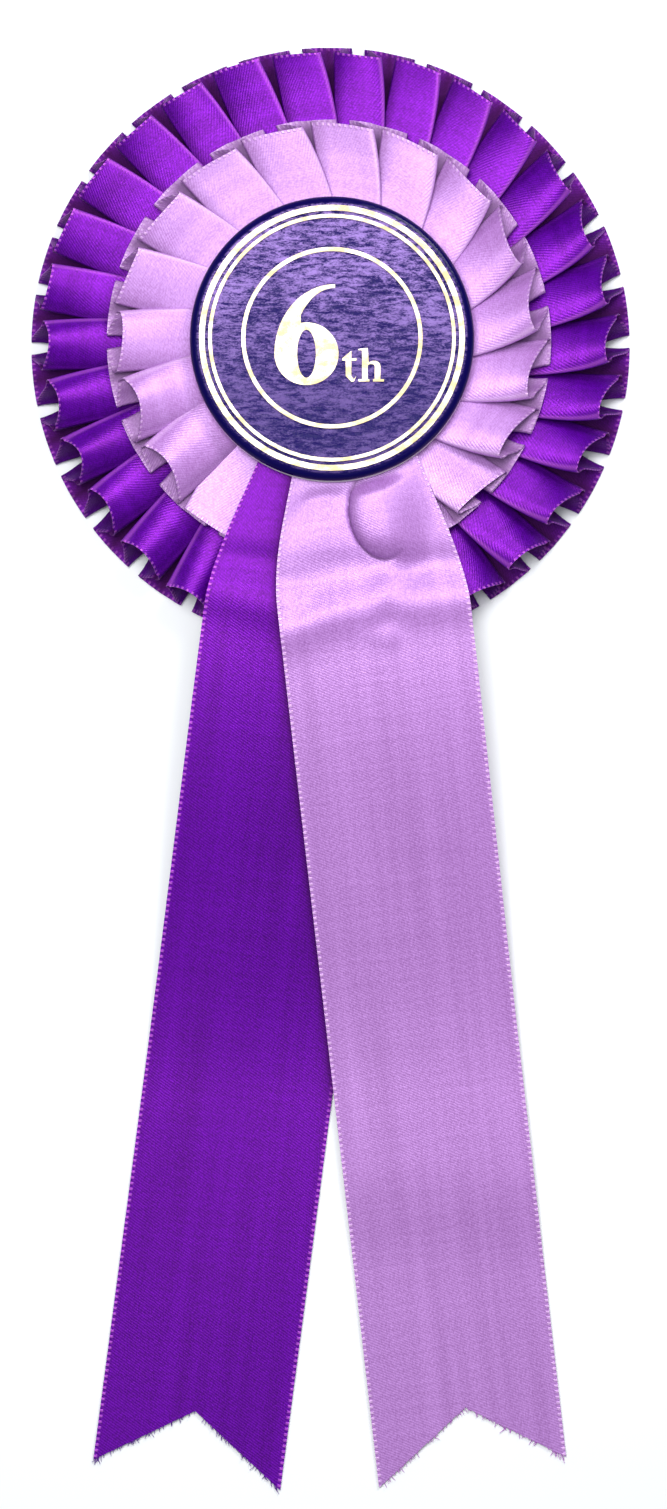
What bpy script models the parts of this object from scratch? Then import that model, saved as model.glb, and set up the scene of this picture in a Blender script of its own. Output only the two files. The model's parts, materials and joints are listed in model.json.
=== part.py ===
# Award ribbon: a two-tier box-pleated rosette with a foil-stamped centre button,
# two dovetailed tails and a safety pin. It lies on its back, +Z up, tails towards -Y.
# The origin is the bottom centre of the whole object's box.

import math

import bmesh
import bpy
from mathutils import Vector

MM = 0.001

# ---- driving dimensions -------------------------------------------------------------------

GAP = 0.3 * MM                  # clearance between pieces that touch

WIRE_DIAMETER = 0.9 * MM        # safety pin
PIN_LENGTH = 36 * MM            # coil centre to the inside of the cap
PIN_SPREAD = 6.6 * MM           # spine to arm, at the coil
PIN_ARM_DRIFT = 0.5 * MM        # how much further the arm stands off at the cap
PIN_OFFSET = 10 * MM            # pin above the rosette's centre
PIN_COIL_TURN = math.radians(270)
PIN_TIP_LENGTH = 7 * MM
CAP_SHEET = 0.4 * MM
CAP_DEPTH = 5 * MM
CAP_ROUNDING = 0.6              # the closed end's bulge, as a share of a half circle's
PATCH_GAUGE = 0.4 * MM
PATCH_LENGTH = 14 * MM
PATCH_GLUED_WIDTH = 5 * MM
PATCH_FOLD_WIDTH = 3 * MM

BACKING_RADIUS = 37 * MM
BACKING_GAUGE = 0.8 * MM
OUTER_CARD_RADIUS = 40 * MM
OUTER_CARD_GAUGE = 0.6 * MM
INNER_CARD_RADIUS = 38 * MM
INNER_CARD_GAUGE = 0.6 * MM

RIBBON_GAUGE = 0.5 * MM         # a pleated ribbon's wall
SEWN_RISE = 0.9 * MM            # fold height where the pleats are sewn flat
SEWN_MARGIN = 1 * MM            # flat ribbon past a stitch line or a card's edge
THREAD_DIAMETER = 0.4 * MM

OUTER_PLEATS = 30
OUTER_SEWN_RADIUS = 35 * MM
OUTER_STITCH_RADIUS = 37.5 * MM
OUTER_BACK_RADIUS = 60.3 * MM
OUTER_RIM_RECESS = 2.8 * MM     # the folds' fronts stand this far inside their backs
OUTER_FRONT_RADIUS = OUTER_BACK_RADIUS - OUTER_RIM_RECESS
OUTER_RIM_RISE = 5.6 * MM       # rim above the sewn flat part
RIM_CLEARANCE = 0.9 * MM        # extra room for the tails where they bend over the outer rim
RIM_LIFT = 0.1 * MM             # the back folds lie this far above the surface
OUTER_FIRST_GAP = math.radians(-1)

INNER_PLEATS = 19
INNER_SEWN_RADIUS = 19 * MM
INNER_STITCH_RADIUS = 22 * MM
INNER_BACK_RADIUS = 44 * MM
INNER_RIM_RECESS = 1.5 * MM
INNER_FRONT_RADIUS = INNER_BACK_RADIUS - INNER_RIM_RECESS
INNER_RIM_RISE = 6.1 * MM
INNER_FIRST_GAP = math.radians(12.4)

TAIL_WIDTH = 38 * MM
TAIL_GAUGE = 0.6 * MM
TAIL_LENGTH = 233.5 * MM        # from the point where the two centre lines cross to the tips
NOTCH_DEPTH = 13 * MM
TAIL_CROSSING = Vector((1.6 * MM, 5.6 * MM))
PURPLE_SPLAY = math.radians(-7.55)
LILAC_SPLAY = math.radians(6.56)
GATHERED_WIDTH = 19 * MM        # a tail's width where it is stapled
STAPLED_LENGTH = 8 * MM         # straight, gathered stretch below the centre
FULL_WIDTH_AT = 62 * MM         # distance below the centre where a tail is flat again
TAIL_TOP = 7 * MM               # a tail's cut top end, above the centre
CLIMB_MARGIN = 3.5 * MM         # the tails are up on the pleats this far inside the sewn ring
CLIMB_LENGTH = 7.5 * MM
DESCENT_LEAD = 5.5 * MM         # the tails start down to the surface this far inside the outer rim
DESCENT_LENGTH = 98 * MM
PARTING_MARGIN = 16 * MM        # the lilac tail starts to land this far past where the tails part
LANDING_LENGTH = 20 * MM
ROOT_ROW_PITCH = 2 * MM         # rows of points along a tail
TAIL_ROW_PITCH = 4 * MM

STAPLE_WIDTH = 9 * MM
STAPLE_WIRE = 0.5 * MM
STAPLE_HOLE = 1.1 * MM
STAPLE_PITCH = 6 * MM
STAPLE_CLINCH = 0.4 * MM        # leg below the card

PAD_MARGIN = 2 * MM             # the pad reaches this far past where the tails start to climb
BUTTON_RADIUS = 28 * MM
BUTTON_BOARD_GAUGE = 1.0 * MM
BUTTON_FACE_GAUGE = 1.7 * MM
BUTTON_SHOULDER = 1.5 * MM
FOIL_GAUGE = 0.2 * MM
OUTER_RING_INSET = 1.9 * MM     # from the button's rim
OUTER_RING_WIDTH = 1.1 * MM
MIDDLE_RING_INSET = 0.7 * MM    # from the outer ring
MIDDLE_RING_WIDTH = 0.7 * MM
INNER_RING_INSET = 5.8 * MM     # from the middle ring
INNER_RING_WIDTH = 0.8 * MM
HINGE_OUTSIDE = 6 * MM          # the tails' hinge line stands this far outside the button's rim
HINGE_ROOT_GAP = 2.4 * MM       # the lifted tail swings over the root's end
HINGE_TAIL_GAP = 0.3 * MM

NUMERAL_CENTRE = Vector((-5.0 * MM, 0.6 * MM))
NUMERAL_WIDTH = 12.6 * MM
NUMERAL_HEIGHT = 19.8 * MM
BOWL_HEIGHT = 12.3 * MM
COUNTER_WIDTH = 3.7 * MM
COUNTER_HEIGHT = 9.5 * MM
TERMINAL_GAUGE = 0.7 * MM
SWEEP_REACH = 5.6 * MM          # the six's upper stroke ends this far right of its bowl's middle
SWEEP_HOLLOW = 0.7              # width of the hollow under that stroke, as a share of the stroke's own
SWEEP_JOIN = math.radians(144)  # where the hollow meets the bowl, round the hollow
LETTER_BASELINE = -8.6 * MM
LETTER_STEM = 1.1 * MM
LETTER_X_HEIGHT = 4.1 * MM
LETTER_SERIF = 0.45 * MM
SERIF_REACH = 0.7 * MM          # a serif's length past its stem
T_LEFT = 2.0 * MM
T_WIDTH = 2.8 * MM
T_HEIGHT = 6.0 * MM
H_LEFT = 5.2 * MM
H_WIDTH = 5.0 * MM
H_HEIGHT = 6.6 * MM

ROUND_SEGMENTS = 72
SMALL_ROUND_SEGMENTS = 48
THREAD_SEGMENTS = 60
THREAD_SIDES = 6
CUT_MARGIN = 1 * MM             # a cutter reaches this far past what it cuts
MERGE = 0.01 * MM
SHARP_ANGLE = math.radians(40)

# ---- places that follow from the driving dimensions ----------------------------------------

HINGE_DISTANCE = BUTTON_RADIUS + HINGE_OUTSIDE          # below the centre, as are the next ones
CLIMB_END = INNER_SEWN_RADIUS - CLIMB_MARGIN
CLIMB_START = CLIMB_END - CLIMB_LENGTH
DESCENT_START = OUTER_FRONT_RADIUS - DESCENT_LEAD
DESCENT_END = DESCENT_START + DESCENT_LENGTH
PARTING = TAIL_WIDTH / 2 / math.sin((LILAC_SPLAY - PURPLE_SPLAY) / 2) - TAIL_CROSSING.y
LANDING_START = PARTING + PARTING_MARGIN
LANDING_END = LANDING_START + LANDING_LENGTH

PAD_RADIUS = CLIMB_START + PAD_MARGIN
OUTER_RING_RADIUS = BUTTON_RADIUS - OUTER_RING_INSET
MIDDLE_RING_RADIUS = OUTER_RING_RADIUS - OUTER_RING_WIDTH - MIDDLE_RING_INSET
INNER_RING_RADIUS = MIDDLE_RING_RADIUS - MIDDLE_RING_WIDTH - INNER_RING_INSET

# ---- heights, stacked upwards from the surface that the object lies on --------------------

SPINE_HEIGHT = PATCH_GAUGE + GAP + WIRE_DIAMETER / 2
ARM_HEIGHT = SPINE_HEIGHT + WIRE_DIAMETER + GAP
CAP_TOP = ARM_HEIGHT + WIRE_DIAMETER / 2 + GAP + CAP_SHEET
BACKING_BOTTOM = CAP_TOP + GAP
BACKING_TOP = BACKING_BOTTOM + BACKING_GAUGE
OUTER_CARD_BOTTOM = BACKING_TOP + GAP
OUTER_CARD_TOP = OUTER_CARD_BOTTOM + OUTER_CARD_GAUGE
OUTER_SEWN_BOTTOM = OUTER_CARD_TOP + GAP
OUTER_SEWN_TOP = OUTER_SEWN_BOTTOM + SEWN_RISE + RIBBON_GAUGE
OUTER_THREAD_HEIGHT = OUTER_SEWN_TOP + GAP + THREAD_DIAMETER / 2
INNER_CARD_BOTTOM = OUTER_THREAD_HEIGHT + THREAD_DIAMETER / 2 + GAP
INNER_CARD_TOP = INNER_CARD_BOTTOM + INNER_CARD_GAUGE
INNER_SEWN_BOTTOM = INNER_CARD_TOP + GAP
INNER_SEWN_TOP = INNER_SEWN_BOTTOM + SEWN_RISE + RIBBON_GAUGE
INNER_THREAD_HEIGHT = INNER_SEWN_TOP + GAP + THREAD_DIAMETER / 2
OUTER_RIM_HEIGHT = OUTER_SEWN_BOTTOM + OUTER_RIM_RISE
INNER_RIM_HEIGHT = INNER_SEWN_BOTTOM + INNER_RIM_RISE

TAIL_STEP = TAIL_GAUGE + 0.4 * MM            # the lilac tail's height over the purple one
PURPLE_LOW = INNER_CARD_TOP + GAP + TAIL_GAUGE / 2
PURPLE_HIGH = INNER_THREAD_HEIGHT + THREAD_DIAMETER / 2 + GAP + TAIL_GAUGE / 2
PURPLE_FLOOR = TAIL_GAUGE / 2
HINGE_HEIGHT = PURPLE_HIGH + TAIL_STEP / 2
STAPLE_HEIGHT = PURPLE_LOW + TAIL_STEP + TAIL_GAUGE / 2 + GAP + STAPLE_WIRE / 2
BOARD_BOTTOM = PURPLE_HIGH + TAIL_STEP + TAIL_GAUGE / 2 + GAP
BOARD_TOP = BOARD_BOTTOM + BUTTON_BOARD_GAUGE
FACE_BOTTOM = BOARD_TOP + GAP
FACE_TOP = FACE_BOTTOM + BUTTON_FACE_GAUGE
FOIL_BOTTOM = FACE_TOP + GAP
FOIL_TOP = FOIL_BOTTOM + FOIL_GAUGE
PAD_BOTTOM = STAPLE_HEIGHT + STAPLE_WIRE / 2 + GAP
PAD_TOP = BOARD_BOTTOM - GAP


def lowest_tip():
    """How far below the centre the lowest tail tip reaches."""
    reach = []
    for splay in (PURPLE_SPLAY, LILAC_SPLAY):
        along = TAIL_LENGTH * math.cos(splay)
        across = TAIL_WIDTH / 2 * math.sin(abs(splay))
        reach.append(along + across - TAIL_CROSSING.y)
    return max(reach)


HEAD_Y = (lowest_tip() - OUTER_BACK_RADIUS) / 2       # the rosette's centre, in the object's frame


# ---- helpers ------------------------------------------------------------------------------

def clear_scene():
    for obj in list(bpy.data.objects):
        bpy.data.objects.remove(obj)


def make_material(name, colour, roughness, metallic=0.0, sheen=0.0):
    material = bpy.data.materials.new(name)
    material.use_nodes = True
    shader = material.node_tree.nodes["Principled BSDF"]
    shader.inputs["Base Color"].default_value = (*colour, 1)
    shader.inputs["Roughness"].default_value = roughness
    shader.inputs["Metallic"].default_value = metallic
    shader.inputs["Sheen Weight"].default_value = sheen
    return material


def make_empty(name, location):
    empty = bpy.data.objects.new(name, None)
    empty.empty_display_size = 10 * MM
    empty.location = location
    bpy.context.scene.collection.objects.link(empty)
    return empty


def add_object(name, data, material, holder, smooth=False):
    """Links data, drawn about the rosette's centre, under the empty that carries it."""
    head = Vector((0, HEAD_Y, 0))
    obj = bpy.data.objects.new(name, data)
    bpy.context.scene.collection.objects.link(obj)
    obj.parent = holder
    obj.location = head - holder.location
    obj.data.materials.append(material)
    if smooth:
        data.shade_smooth()
        data.set_sharp_from_angle(angle=SHARP_ANGLE)
    return obj


def mesh_from(bm, name):
    bmesh.ops.recalc_face_normals(bm, faces=bm.faces)
    mesh = bpy.data.meshes.new(name)
    bm.to_mesh(mesh)
    bm.free()
    return mesh


def turned(name, profile, segments=ROUND_SEGMENTS, closed=False):
    """Solid of revolution about the centre's axis, from (radius, height) points that start and end on the
    axis, or that close on themselves."""
    bm = bmesh.new()
    points = [bm.verts.new((radius, 0, height)) for radius, height in profile]
    edges = [bm.edges.new(pair) for pair in zip(points, points[1:])]
    if closed:
        edges.append(bm.edges.new((points[-1], points[0])))
    bmesh.ops.spin(bm, geom=points + edges, cent=(0, 0, 0), axis=(0, 0, 1),
                   angle=2 * math.pi, steps=segments, use_merge=True)
    bmesh.ops.remove_doubles(bm, verts=bm.verts, dist=MERGE)
    return mesh_from(bm, name)


def disc(name, radius, bottom, top, segments=ROUND_SEGMENTS):
    return turned(name, [(0, bottom), (radius, bottom), (radius, top), (0, top)], segments)


def flat_ring(name, radius, width, bottom, top):
    """Ring of this outer radius and width."""
    low = radius - width
    return turned(name, [(low, bottom), (radius, bottom), (radius, top), (low, top)], closed=True)


def thread_ring(name, radius, height):
    """A round thread laid in a circle."""
    turns = [2 * math.pi * side / THREAD_SIDES for side in range(THREAD_SIDES)]
    profile = [(radius + THREAD_DIAMETER / 2 * math.cos(turn), height + THREAD_DIAMETER / 2 * math.sin(turn))
               for turn in turns]
    return turned(name, profile, THREAD_SEGMENTS, closed=True)


def prism(name, outline, bottom, top):
    """Upright prism on a flat outline of (x, y) points."""
    bm = bmesh.new()
    base = bm.faces.new([bm.verts.new((x, y, bottom)) for x, y in outline])
    grown = bmesh.ops.extrude_face_region(bm, geom=[base])
    raised = [item for item in grown["geom"] if isinstance(item, bmesh.types.BMVert)]
    bmesh.ops.translate(bm, verts=raised, vec=(0, 0, top - bottom))
    return mesh_from(bm, name)


def box_in(bm, low, high):
    """Adds a box between two corners."""
    size = [b - a for a, b in zip(low, high)]
    centre = [(a + b) / 2 for a, b in zip(low, high)]
    made = bmesh.ops.create_cube(bm, size=1)["verts"]
    bmesh.ops.scale(bm, verts=made, vec=size)
    bmesh.ops.translate(bm, verts=made, vec=centre)


def cut(obj, cutter):
    modifier = obj.modifiers.new("cut", "BOOLEAN")
    modifier.operation = "DIFFERENCE"
    modifier.solver = "EXACT"
    modifier.object = cutter


def add_cutter(name, bm, holder, material):
    cutter = add_object(name, mesh_from(bm, name), material, holder)
    cutter.hide_render = True
    cutter.display_type = "WIRE"
    return cutter


def thicken(obj, gauge):
    modifier = obj.modifiers.new("gauge", "SOLIDIFY")
    modifier.thickness = gauge
    modifier.offset = 0
    modifier.use_even_offset = True


def ease(start, end, value):
    """0 before start, 1 after end, and a smooth step between."""
    share = min(max((value - start) / (end - start), 0), 1)
    return share * share * (3 - 2 * share)


def wire(name, route, diameter, tip_radius=1.0):
    """Round wire through the points; tip_radius scales the last one."""
    curve = bpy.data.curves.new(name, "CURVE")
    curve.dimensions = "3D"
    curve.bevel_depth = diameter / 2
    curve.bevel_resolution = 2
    curve.use_fill_caps = True
    spline = curve.splines.new("POLY")
    spline.points.add(len(route) - 1)
    for point, place in zip(spline.points, route):
        point.co = (*place, 1)
    spline.points[-1].radius = tip_radius
    return curve


# ---- pleated tiers ------------------------------------------------------------------------

# One box pleat, as (share of the pitch, height): 0 is the back of the fold, 1 its front.
PLEAT_SHAPE = ((0.05, 0.0), (0.13, 0.88), (0.5, 1.0), (0.87, 0.88), (0.95, 0.0))
PLEAT_SWELL = 0.8               # below 1, the fronts rise faster near the sewn part than near the rim
PRESSED_SECTOR = math.radians(62)       # the tails press the pleats down within this angle of straight down
PRESSED_FULL = math.radians(34)         # and fully within this one


def pressed_share(turn):
    """1 where the tails lie on the pleats, below the centre, and 0 away from them."""
    away = abs((turn % (2 * math.pi)) - math.pi)
    return 1 - ease(PRESSED_FULL, PRESSED_SECTOR, away)


def pleated_tier(name, pleats, first_gap, inner_radii, rim_radii, heights):
    """A ribbon folded into box pleats round a ring: flat where it is sewn, level underneath over its card,
    and open towards the rim. inner_radii are of the sewn edge, the stitching and the card, rim_radii of the
    folds' fronts and backs, and heights of the sewn part's underside, the rim's, the rim's top, and its top
    under the tails."""
    sewn_radius, stitch_radius, card_radius = inner_radii
    front_radius, back_radius = rim_radii
    sewn_bottom, rim_bottom, rim_height, pressed_height = heights
    bm = bmesh.new()
    half = RIBBON_GAUGE / 2
    flat_radius = stitch_radius + SEWN_MARGIN
    level_radius = card_radius + SEWN_MARGIN
    sections = []
    for pleat in range(pleats):
        for share, front in PLEAT_SHAPE:
            turn = first_gap + 2 * math.pi * (pleat + share) / pleats
            rim = back_radius + (front_radius - back_radius) * front
            top = rim_height + (pressed_height - rim_height) * pressed_share(turn)
            section = []
            for radius in sorted((sewn_radius, flat_radius, level_radius, (flat_radius + rim) / 2, rim)):
                dropped = max(0, (radius - level_radius) / (rim - level_radius))
                lifted = max(0, (radius - flat_radius) / (rim - flat_radius)) ** PLEAT_SWELL
                low = sewn_bottom + half + (rim_bottom - sewn_bottom) * dropped
                high = sewn_bottom + half + SEWN_RISE
                high += (top - half - high) * lifted
                height = low + (high - low) * front
                section.append(bm.verts.new((radius * math.sin(turn), radius * math.cos(turn), height)))
            sections.append(section)
    for one, other in zip(sections, sections[1:] + sections[:1]):
        for index in range(len(one) - 1):
            bm.faces.new((one[index], one[index + 1], other[index + 1], other[index]))
    return mesh_from(bm, name)


# ---- tails --------------------------------------------------------------------------------

def tail_width(below):
    full = ease(STAPLED_LENGTH, FULL_WIDTH_AT, below)
    return GATHERED_WIDTH + (TAIL_WIDTH - GATHERED_WIDTH) * full


def purple_height(below):
    """Middle of the purple tail's thickness at this distance below the centre."""
    climbed = PURPLE_LOW + (PURPLE_HIGH - PURPLE_LOW) * ease(CLIMB_START, CLIMB_END, below)
    return climbed + (PURPLE_FLOOR - PURPLE_HIGH) * ease(DESCENT_START, DESCENT_END, below)


def lilac_height(below):
    landed = ease(LANDING_START, LANDING_END, below)
    return purple_height(below) + TAIL_STEP * (1 - landed)


def tail_mesh(name, splay, height, start, end, pitch):
    """Sheet along one tail's centre line, with rows of points at this pitch. start and end are distances
    below the rosette's centre; an end of None is the dovetail."""
    bm = bmesh.new()
    along = Vector((math.sin(splay), -math.cos(splay)))
    across = Vector((math.cos(splay), math.sin(splay)))
    level = TAIL_CROSSING.y / math.cos(splay)
    last = TAIL_LENGTH if end is None else level + end / math.cos(splay)
    first = level + start / math.cos(splay)
    count = round((last - first) / pitch)
    rows = []
    for index in range(count + 1):
        row = []
        for side in (-1, 0, 1):
            reach = last - NOTCH_DEPTH * (1 - abs(side)) if end is None else last
            distance = first + (reach - first) * index / count
            width = tail_width(distance - level)
            flat = TAIL_CROSSING + along * distance + across * (side * width / 2)
            if index == 0 or (index == count and end is not None):
                # The cut ends by a hinge run straight across the object, parallel to its axis.
                edge = start if index == 0 else end
                flat += along * ((flat.y + edge) / math.cos(splay))
            row.append(bm.verts.new((flat.x, flat.y, height(-flat.y))))
        rows.append(row)
    for one, other in zip(rows, rows[1:]):
        for index in range(len(one) - 1):
            bm.faces.new((one[index], one[index + 1], other[index + 1], other[index]))
    return mesh_from(bm, name)


# ---- staples ------------------------------------------------------------------------------

def staple_places():
    """Centre of each staple's crown, upper one first."""
    middle = Vector((TAIL_CROSSING.x, 0))
    return [middle + Vector((0, STAPLE_PITCH / 2)), middle - Vector((0, STAPLE_PITCH / 2))]


def staple_mesh(name, place):
    """Crown over the tails, with both legs down through the card."""
    bm = bmesh.new()
    half = STAPLE_WIDTH / 2
    foot = INNER_CARD_BOTTOM - STAPLE_CLINCH
    top = STAPLE_HEIGHT + STAPLE_WIRE / 2
    crown = STAPLE_HEIGHT - STAPLE_WIRE / 2
    outline = [(-half, foot), (-half + STAPLE_WIRE, foot), (-half + STAPLE_WIRE, crown),
               (half - STAPLE_WIRE, crown), (half - STAPLE_WIRE, foot), (half, foot), (half, top),
               (-half, top)]
    near = place.y - STAPLE_WIRE / 2
    base = bm.faces.new([bm.verts.new((place.x + x, near, z)) for x, z in outline])
    grown = bmesh.ops.extrude_face_region(bm, geom=[base])
    raised = [item for item in grown["geom"] if isinstance(item, bmesh.types.BMVert)]
    bmesh.ops.translate(bm, verts=raised, vec=(0, STAPLE_WIRE, 0))
    return mesh_from(bm, name)


def staple_hole_shapes():
    bm = bmesh.new()
    reach = (STAPLE_WIDTH - STAPLE_WIRE) / 2
    half = STAPLE_HOLE / 2
    low = INNER_CARD_BOTTOM - CUT_MARGIN
    for place in staple_places():
        for side in (-1, 1):
            x = place.x + side * reach
            box_in(bm, (x - half, place.y - half, low), (x + half, place.y + half, PAD_BOTTOM))
    return bm


# ---- safety pin ---------------------------------------------------------------------------

COIL_CENTRE = Vector((-PIN_LENGTH / 2, PIN_OFFSET, 0))


def coil_arc(start, turn, height):
    """Points round the coil from angle start, turning by turn."""
    steps = 18
    radius = PIN_SPREAD / 2
    places = []
    for index in range(steps + 1):
        angle = start + turn * index / steps
        places.append(COIL_CENTRE + Vector((radius * math.cos(angle), radius * math.sin(angle), height)))
    return places


def spine_route():
    end = Vector((PIN_LENGTH / 2 - GAP, PIN_OFFSET - PIN_SPREAD / 2, SPINE_HEIGHT))
    return coil_arc(0, PIN_COIL_TURN, SPINE_HEIGHT) + [end]


def arm_route():
    top = PIN_OFFSET + PIN_SPREAD / 2
    tip = Vector((PIN_LENGTH / 2 - GAP, top + PIN_ARM_DRIFT, ARM_HEIGHT))
    root = COIL_CENTRE + Vector((0, PIN_SPREAD / 2, ARM_HEIGHT))
    shoulder = root.lerp(tip, 1 - PIN_TIP_LENGTH / PIN_LENGTH)
    return coil_arc(0, -PIN_COIL_TURN, ARM_HEIGHT) + [shoulder, tip]


def cap_outline():
    """Square at the open end and round at the closed one."""
    low = PIN_OFFSET - PIN_SPREAD / 2 - WIRE_DIAMETER / 2 - GAP - CAP_SHEET
    high = PIN_OFFSET + PIN_SPREAD / 2 + PIN_ARM_DRIFT + WIRE_DIAMETER / 2 + GAP + CAP_SHEET
    inner_end = PIN_LENGTH / 2
    radius = (high - low) / 2
    outline = [(inner_end - CAP_DEPTH, high), (inner_end - CAP_DEPTH, low)]
    steps = 12
    for index in range(steps + 1):
        angle = -math.pi / 2 + math.pi * index / steps
        outline.append((inner_end - CAP_SHEET + radius * math.cos(angle) * CAP_ROUNDING,
                        (low + high) / 2 + radius * math.sin(angle)))
    return outline


def cap_slot_shape():
    """The cap is open at its mouth and on the arm's side, so the point swings out."""
    bm = bmesh.new()
    low = PIN_OFFSET - PIN_SPREAD / 2 - WIRE_DIAMETER / 2 - GAP
    mouth = PIN_LENGTH / 2 - CAP_DEPTH - CUT_MARGIN
    side = PIN_OFFSET + PIN_SPREAD + CUT_MARGIN
    box_in(bm, (mouth, low, CAP_SHEET), (PIN_LENGTH / 2, side, CAP_TOP - CAP_SHEET))
    return bm


def patch_mesh(name):
    """Tape glued to the card on one side of the spine, folded round under the wire."""
    wire_y = PIN_OFFSET - PIN_SPREAD / 2
    wall = wire_y + WIRE_DIAMETER / 2 + GAP
    fold = wall - PATCH_FOLD_WIDTH
    slope = fold - (BACKING_BOTTOM - PATCH_GAUGE)
    glued = slope - PATCH_GLUED_WIDTH
    ceiling = BACKING_BOTTOM - GAP
    under = ceiling - PATCH_GAUGE
    outline = [(glued, under), (slope, under), (fold, 0), (wall + PATCH_GAUGE, 0),
               (wall + PATCH_GAUGE, ceiling), (wall, ceiling), (wall, PATCH_GAUGE),
               (fold + PATCH_GAUGE / 2, PATCH_GAUGE), (slope + PATCH_GAUGE / 2, ceiling), (glued, ceiling)]
    bm = bmesh.new()
    base = bm.faces.new([bm.verts.new((-PATCH_LENGTH / 2, y, z)) for y, z in outline])
    grown = bmesh.ops.extrude_face_region(bm, geom=[base])
    raised = [item for item in grown["geom"] if isinstance(item, bmesh.types.BMVert)]
    bmesh.ops.translate(bm, verts=raised, vec=(PATCH_LENGTH, 0, 0))
    return mesh_from(bm, name)


# ---- foil numeral and letters -------------------------------------------------------------

def ellipse_arc(centre, across, up, start, end, steps):
    return [(centre[0] + across * math.cos(start + (end - start) * index / steps),
             centre[1] + up * math.sin(start + (end - start) * index / steps)) for index in range(steps + 1)]


def numeral_outlines():
    """A bold six: an oval bowl with a narrow counter, and a stroke that thins as it sweeps up and right."""
    bowl_across = NUMERAL_WIDTH / 2
    bowl_up = BOWL_HEIGHT / 2
    bowl = (NUMERAL_CENTRE.x, NUMERAL_CENTRE.y - NUMERAL_HEIGHT / 2 + bowl_up)
    sweep = (bowl[0] + SWEEP_REACH, bowl[1])
    sweep_across = SWEEP_REACH + bowl_across
    sweep_up = NUMERAL_HEIGHT - bowl_up
    hollow_across = sweep_across * SWEEP_HOLLOW
    hollow_up = sweep_up - TERMINAL_GAUGE
    join_x = sweep[0] + hollow_across * math.cos(SWEEP_JOIN)
    joined = math.acos((join_x - bowl[0]) / bowl_across)
    outer = ellipse_arc(sweep, sweep_across, sweep_up, math.pi / 2, math.pi, 12)
    outer += ellipse_arc(bowl, bowl_across, bowl_up, math.pi, 2 * math.pi + joined, 26)[1:]
    outer += ellipse_arc(sweep, hollow_across, hollow_up, SWEEP_JOIN, math.pi / 2, 8)
    counter = ellipse_arc(bowl, COUNTER_WIDTH / 2, COUNTER_HEIGHT / 2, 0, 2 * math.pi, 24)[:-1]
    return [outer, counter]


def letter_t_outlines():
    base = LETTER_BASELINE
    right = T_LEFT + T_WIDTH
    bar = base + LETTER_X_HEIGHT
    bar_top = bar + LETTER_SERIF
    stem = T_LEFT + SERIF_REACH
    stem_right = stem + LETTER_STEM
    hook = (stem_right + right) / 2
    return [[(stem, bar), (T_LEFT, bar), (T_LEFT, bar_top), (stem_right, base + T_HEIGHT),
             (stem_right, bar_top), (right, bar_top), (right, bar), (stem_right, bar),
             (stem_right, base + LETTER_STEM), (hook, base + LETTER_SERIF), (right, base + LETTER_STEM),
             (hook, base), (stem_right, base), (stem, base + LETTER_STEM)]]


def letter_h_outlines():
    base = LETTER_BASELINE
    foot = base + LETTER_SERIF
    right = H_LEFT + H_WIDTH
    stem = H_LEFT + SERIF_REACH
    stem_right = stem + LETTER_STEM
    leg_right = right - SERIF_REACH
    leg = leg_right - LETTER_STEM
    inner_serif = (leg - stem_right) / 4
    spring = base + LETTER_X_HEIGHT - LETTER_STEM
    top = base + H_HEIGHT
    middle = (stem_right + leg) / 2
    outline = [(H_LEFT, base), (stem_right + inner_serif, base), (stem_right + inner_serif, foot),
               (stem_right, foot), (stem_right, spring)]
    outline += ellipse_arc((middle, spring), leg - middle, LETTER_SERIF, math.pi, 0, 6)[1:]
    outline += [(leg, foot), (leg - inner_serif, foot), (leg - inner_serif, base), (right, base),
                (right, foot), (leg_right, foot), (leg_right, spring)]
    outline += ellipse_arc(((stem_right + leg_right) / 2, spring), (leg_right - stem_right) / 2, LETTER_STEM,
                           0, 0.8 * math.pi, 6)[1:]
    outline += [(stem_right, top), (H_LEFT, top - LETTER_SERIF / 2), (H_LEFT, top - LETTER_SERIF),
                (stem, top - LETTER_SERIF), (stem, foot), (H_LEFT, foot)]
    return [outline]


def foil_shape(name, outlines):
    """Flat curve with filled faces, raised by the foil's gauge. A second outline is a hole."""
    curve = bpy.data.curves.new(name, "CURVE")
    curve.dimensions = "2D"
    curve.fill_mode = "BOTH"
    curve.extrude = FOIL_GAUGE / 2
    for outline in outlines:
        spline = curve.splines.new("POLY")
        spline.points.add(len(outline) - 1)
        for point, (x, y) in zip(spline.points, outline):
            point.co = (x, y, 0, 1)
        spline.use_cyclic_u = True
    return curve


def add_foil_shape(name, outlines, material, holder):
    obj = add_object(name, foil_shape(name, outlines), material, holder)
    obj.location.z += (FOIL_BOTTOM + FOIL_TOP) / 2


# ---- assembly -----------------------------------------------------------------------------

def button_face_profile():
    """Flat top with a rounded shoulder."""
    steps = 6
    centre = BUTTON_RADIUS - BUTTON_SHOULDER
    shoulder = [(centre + BUTTON_SHOULDER * math.sin(math.pi / 2 * index / steps),
                 FACE_TOP - BUTTON_SHOULDER + BUTTON_SHOULDER * math.cos(math.pi / 2 * index / steps))
                for index in range(steps + 1)]
    return [(0, FACE_TOP)] + shoulder + [(BUTTON_RADIUS, FACE_BOTTOM), (0, FACE_BOTTOM)]


def build_pin(head, coil_axis, steel, tape):
    add_object("pin_patch", patch_mesh("pin_patch"), tape, head)
    add_object("pin_spine", wire("pin_spine", spine_route(), WIRE_DIAMETER), steel, head)
    add_object("pin_arm", wire("pin_arm", arm_route(), WIRE_DIAMETER, tip_radius=0.15), steel, coil_axis)
    cap = add_object("pin_cap", prism("pin_cap", cap_outline(), 0, CAP_TOP), steel, head)
    cut(cap, add_cutter("cap_slot_cutter", cap_slot_shape(), head, steel))


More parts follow.
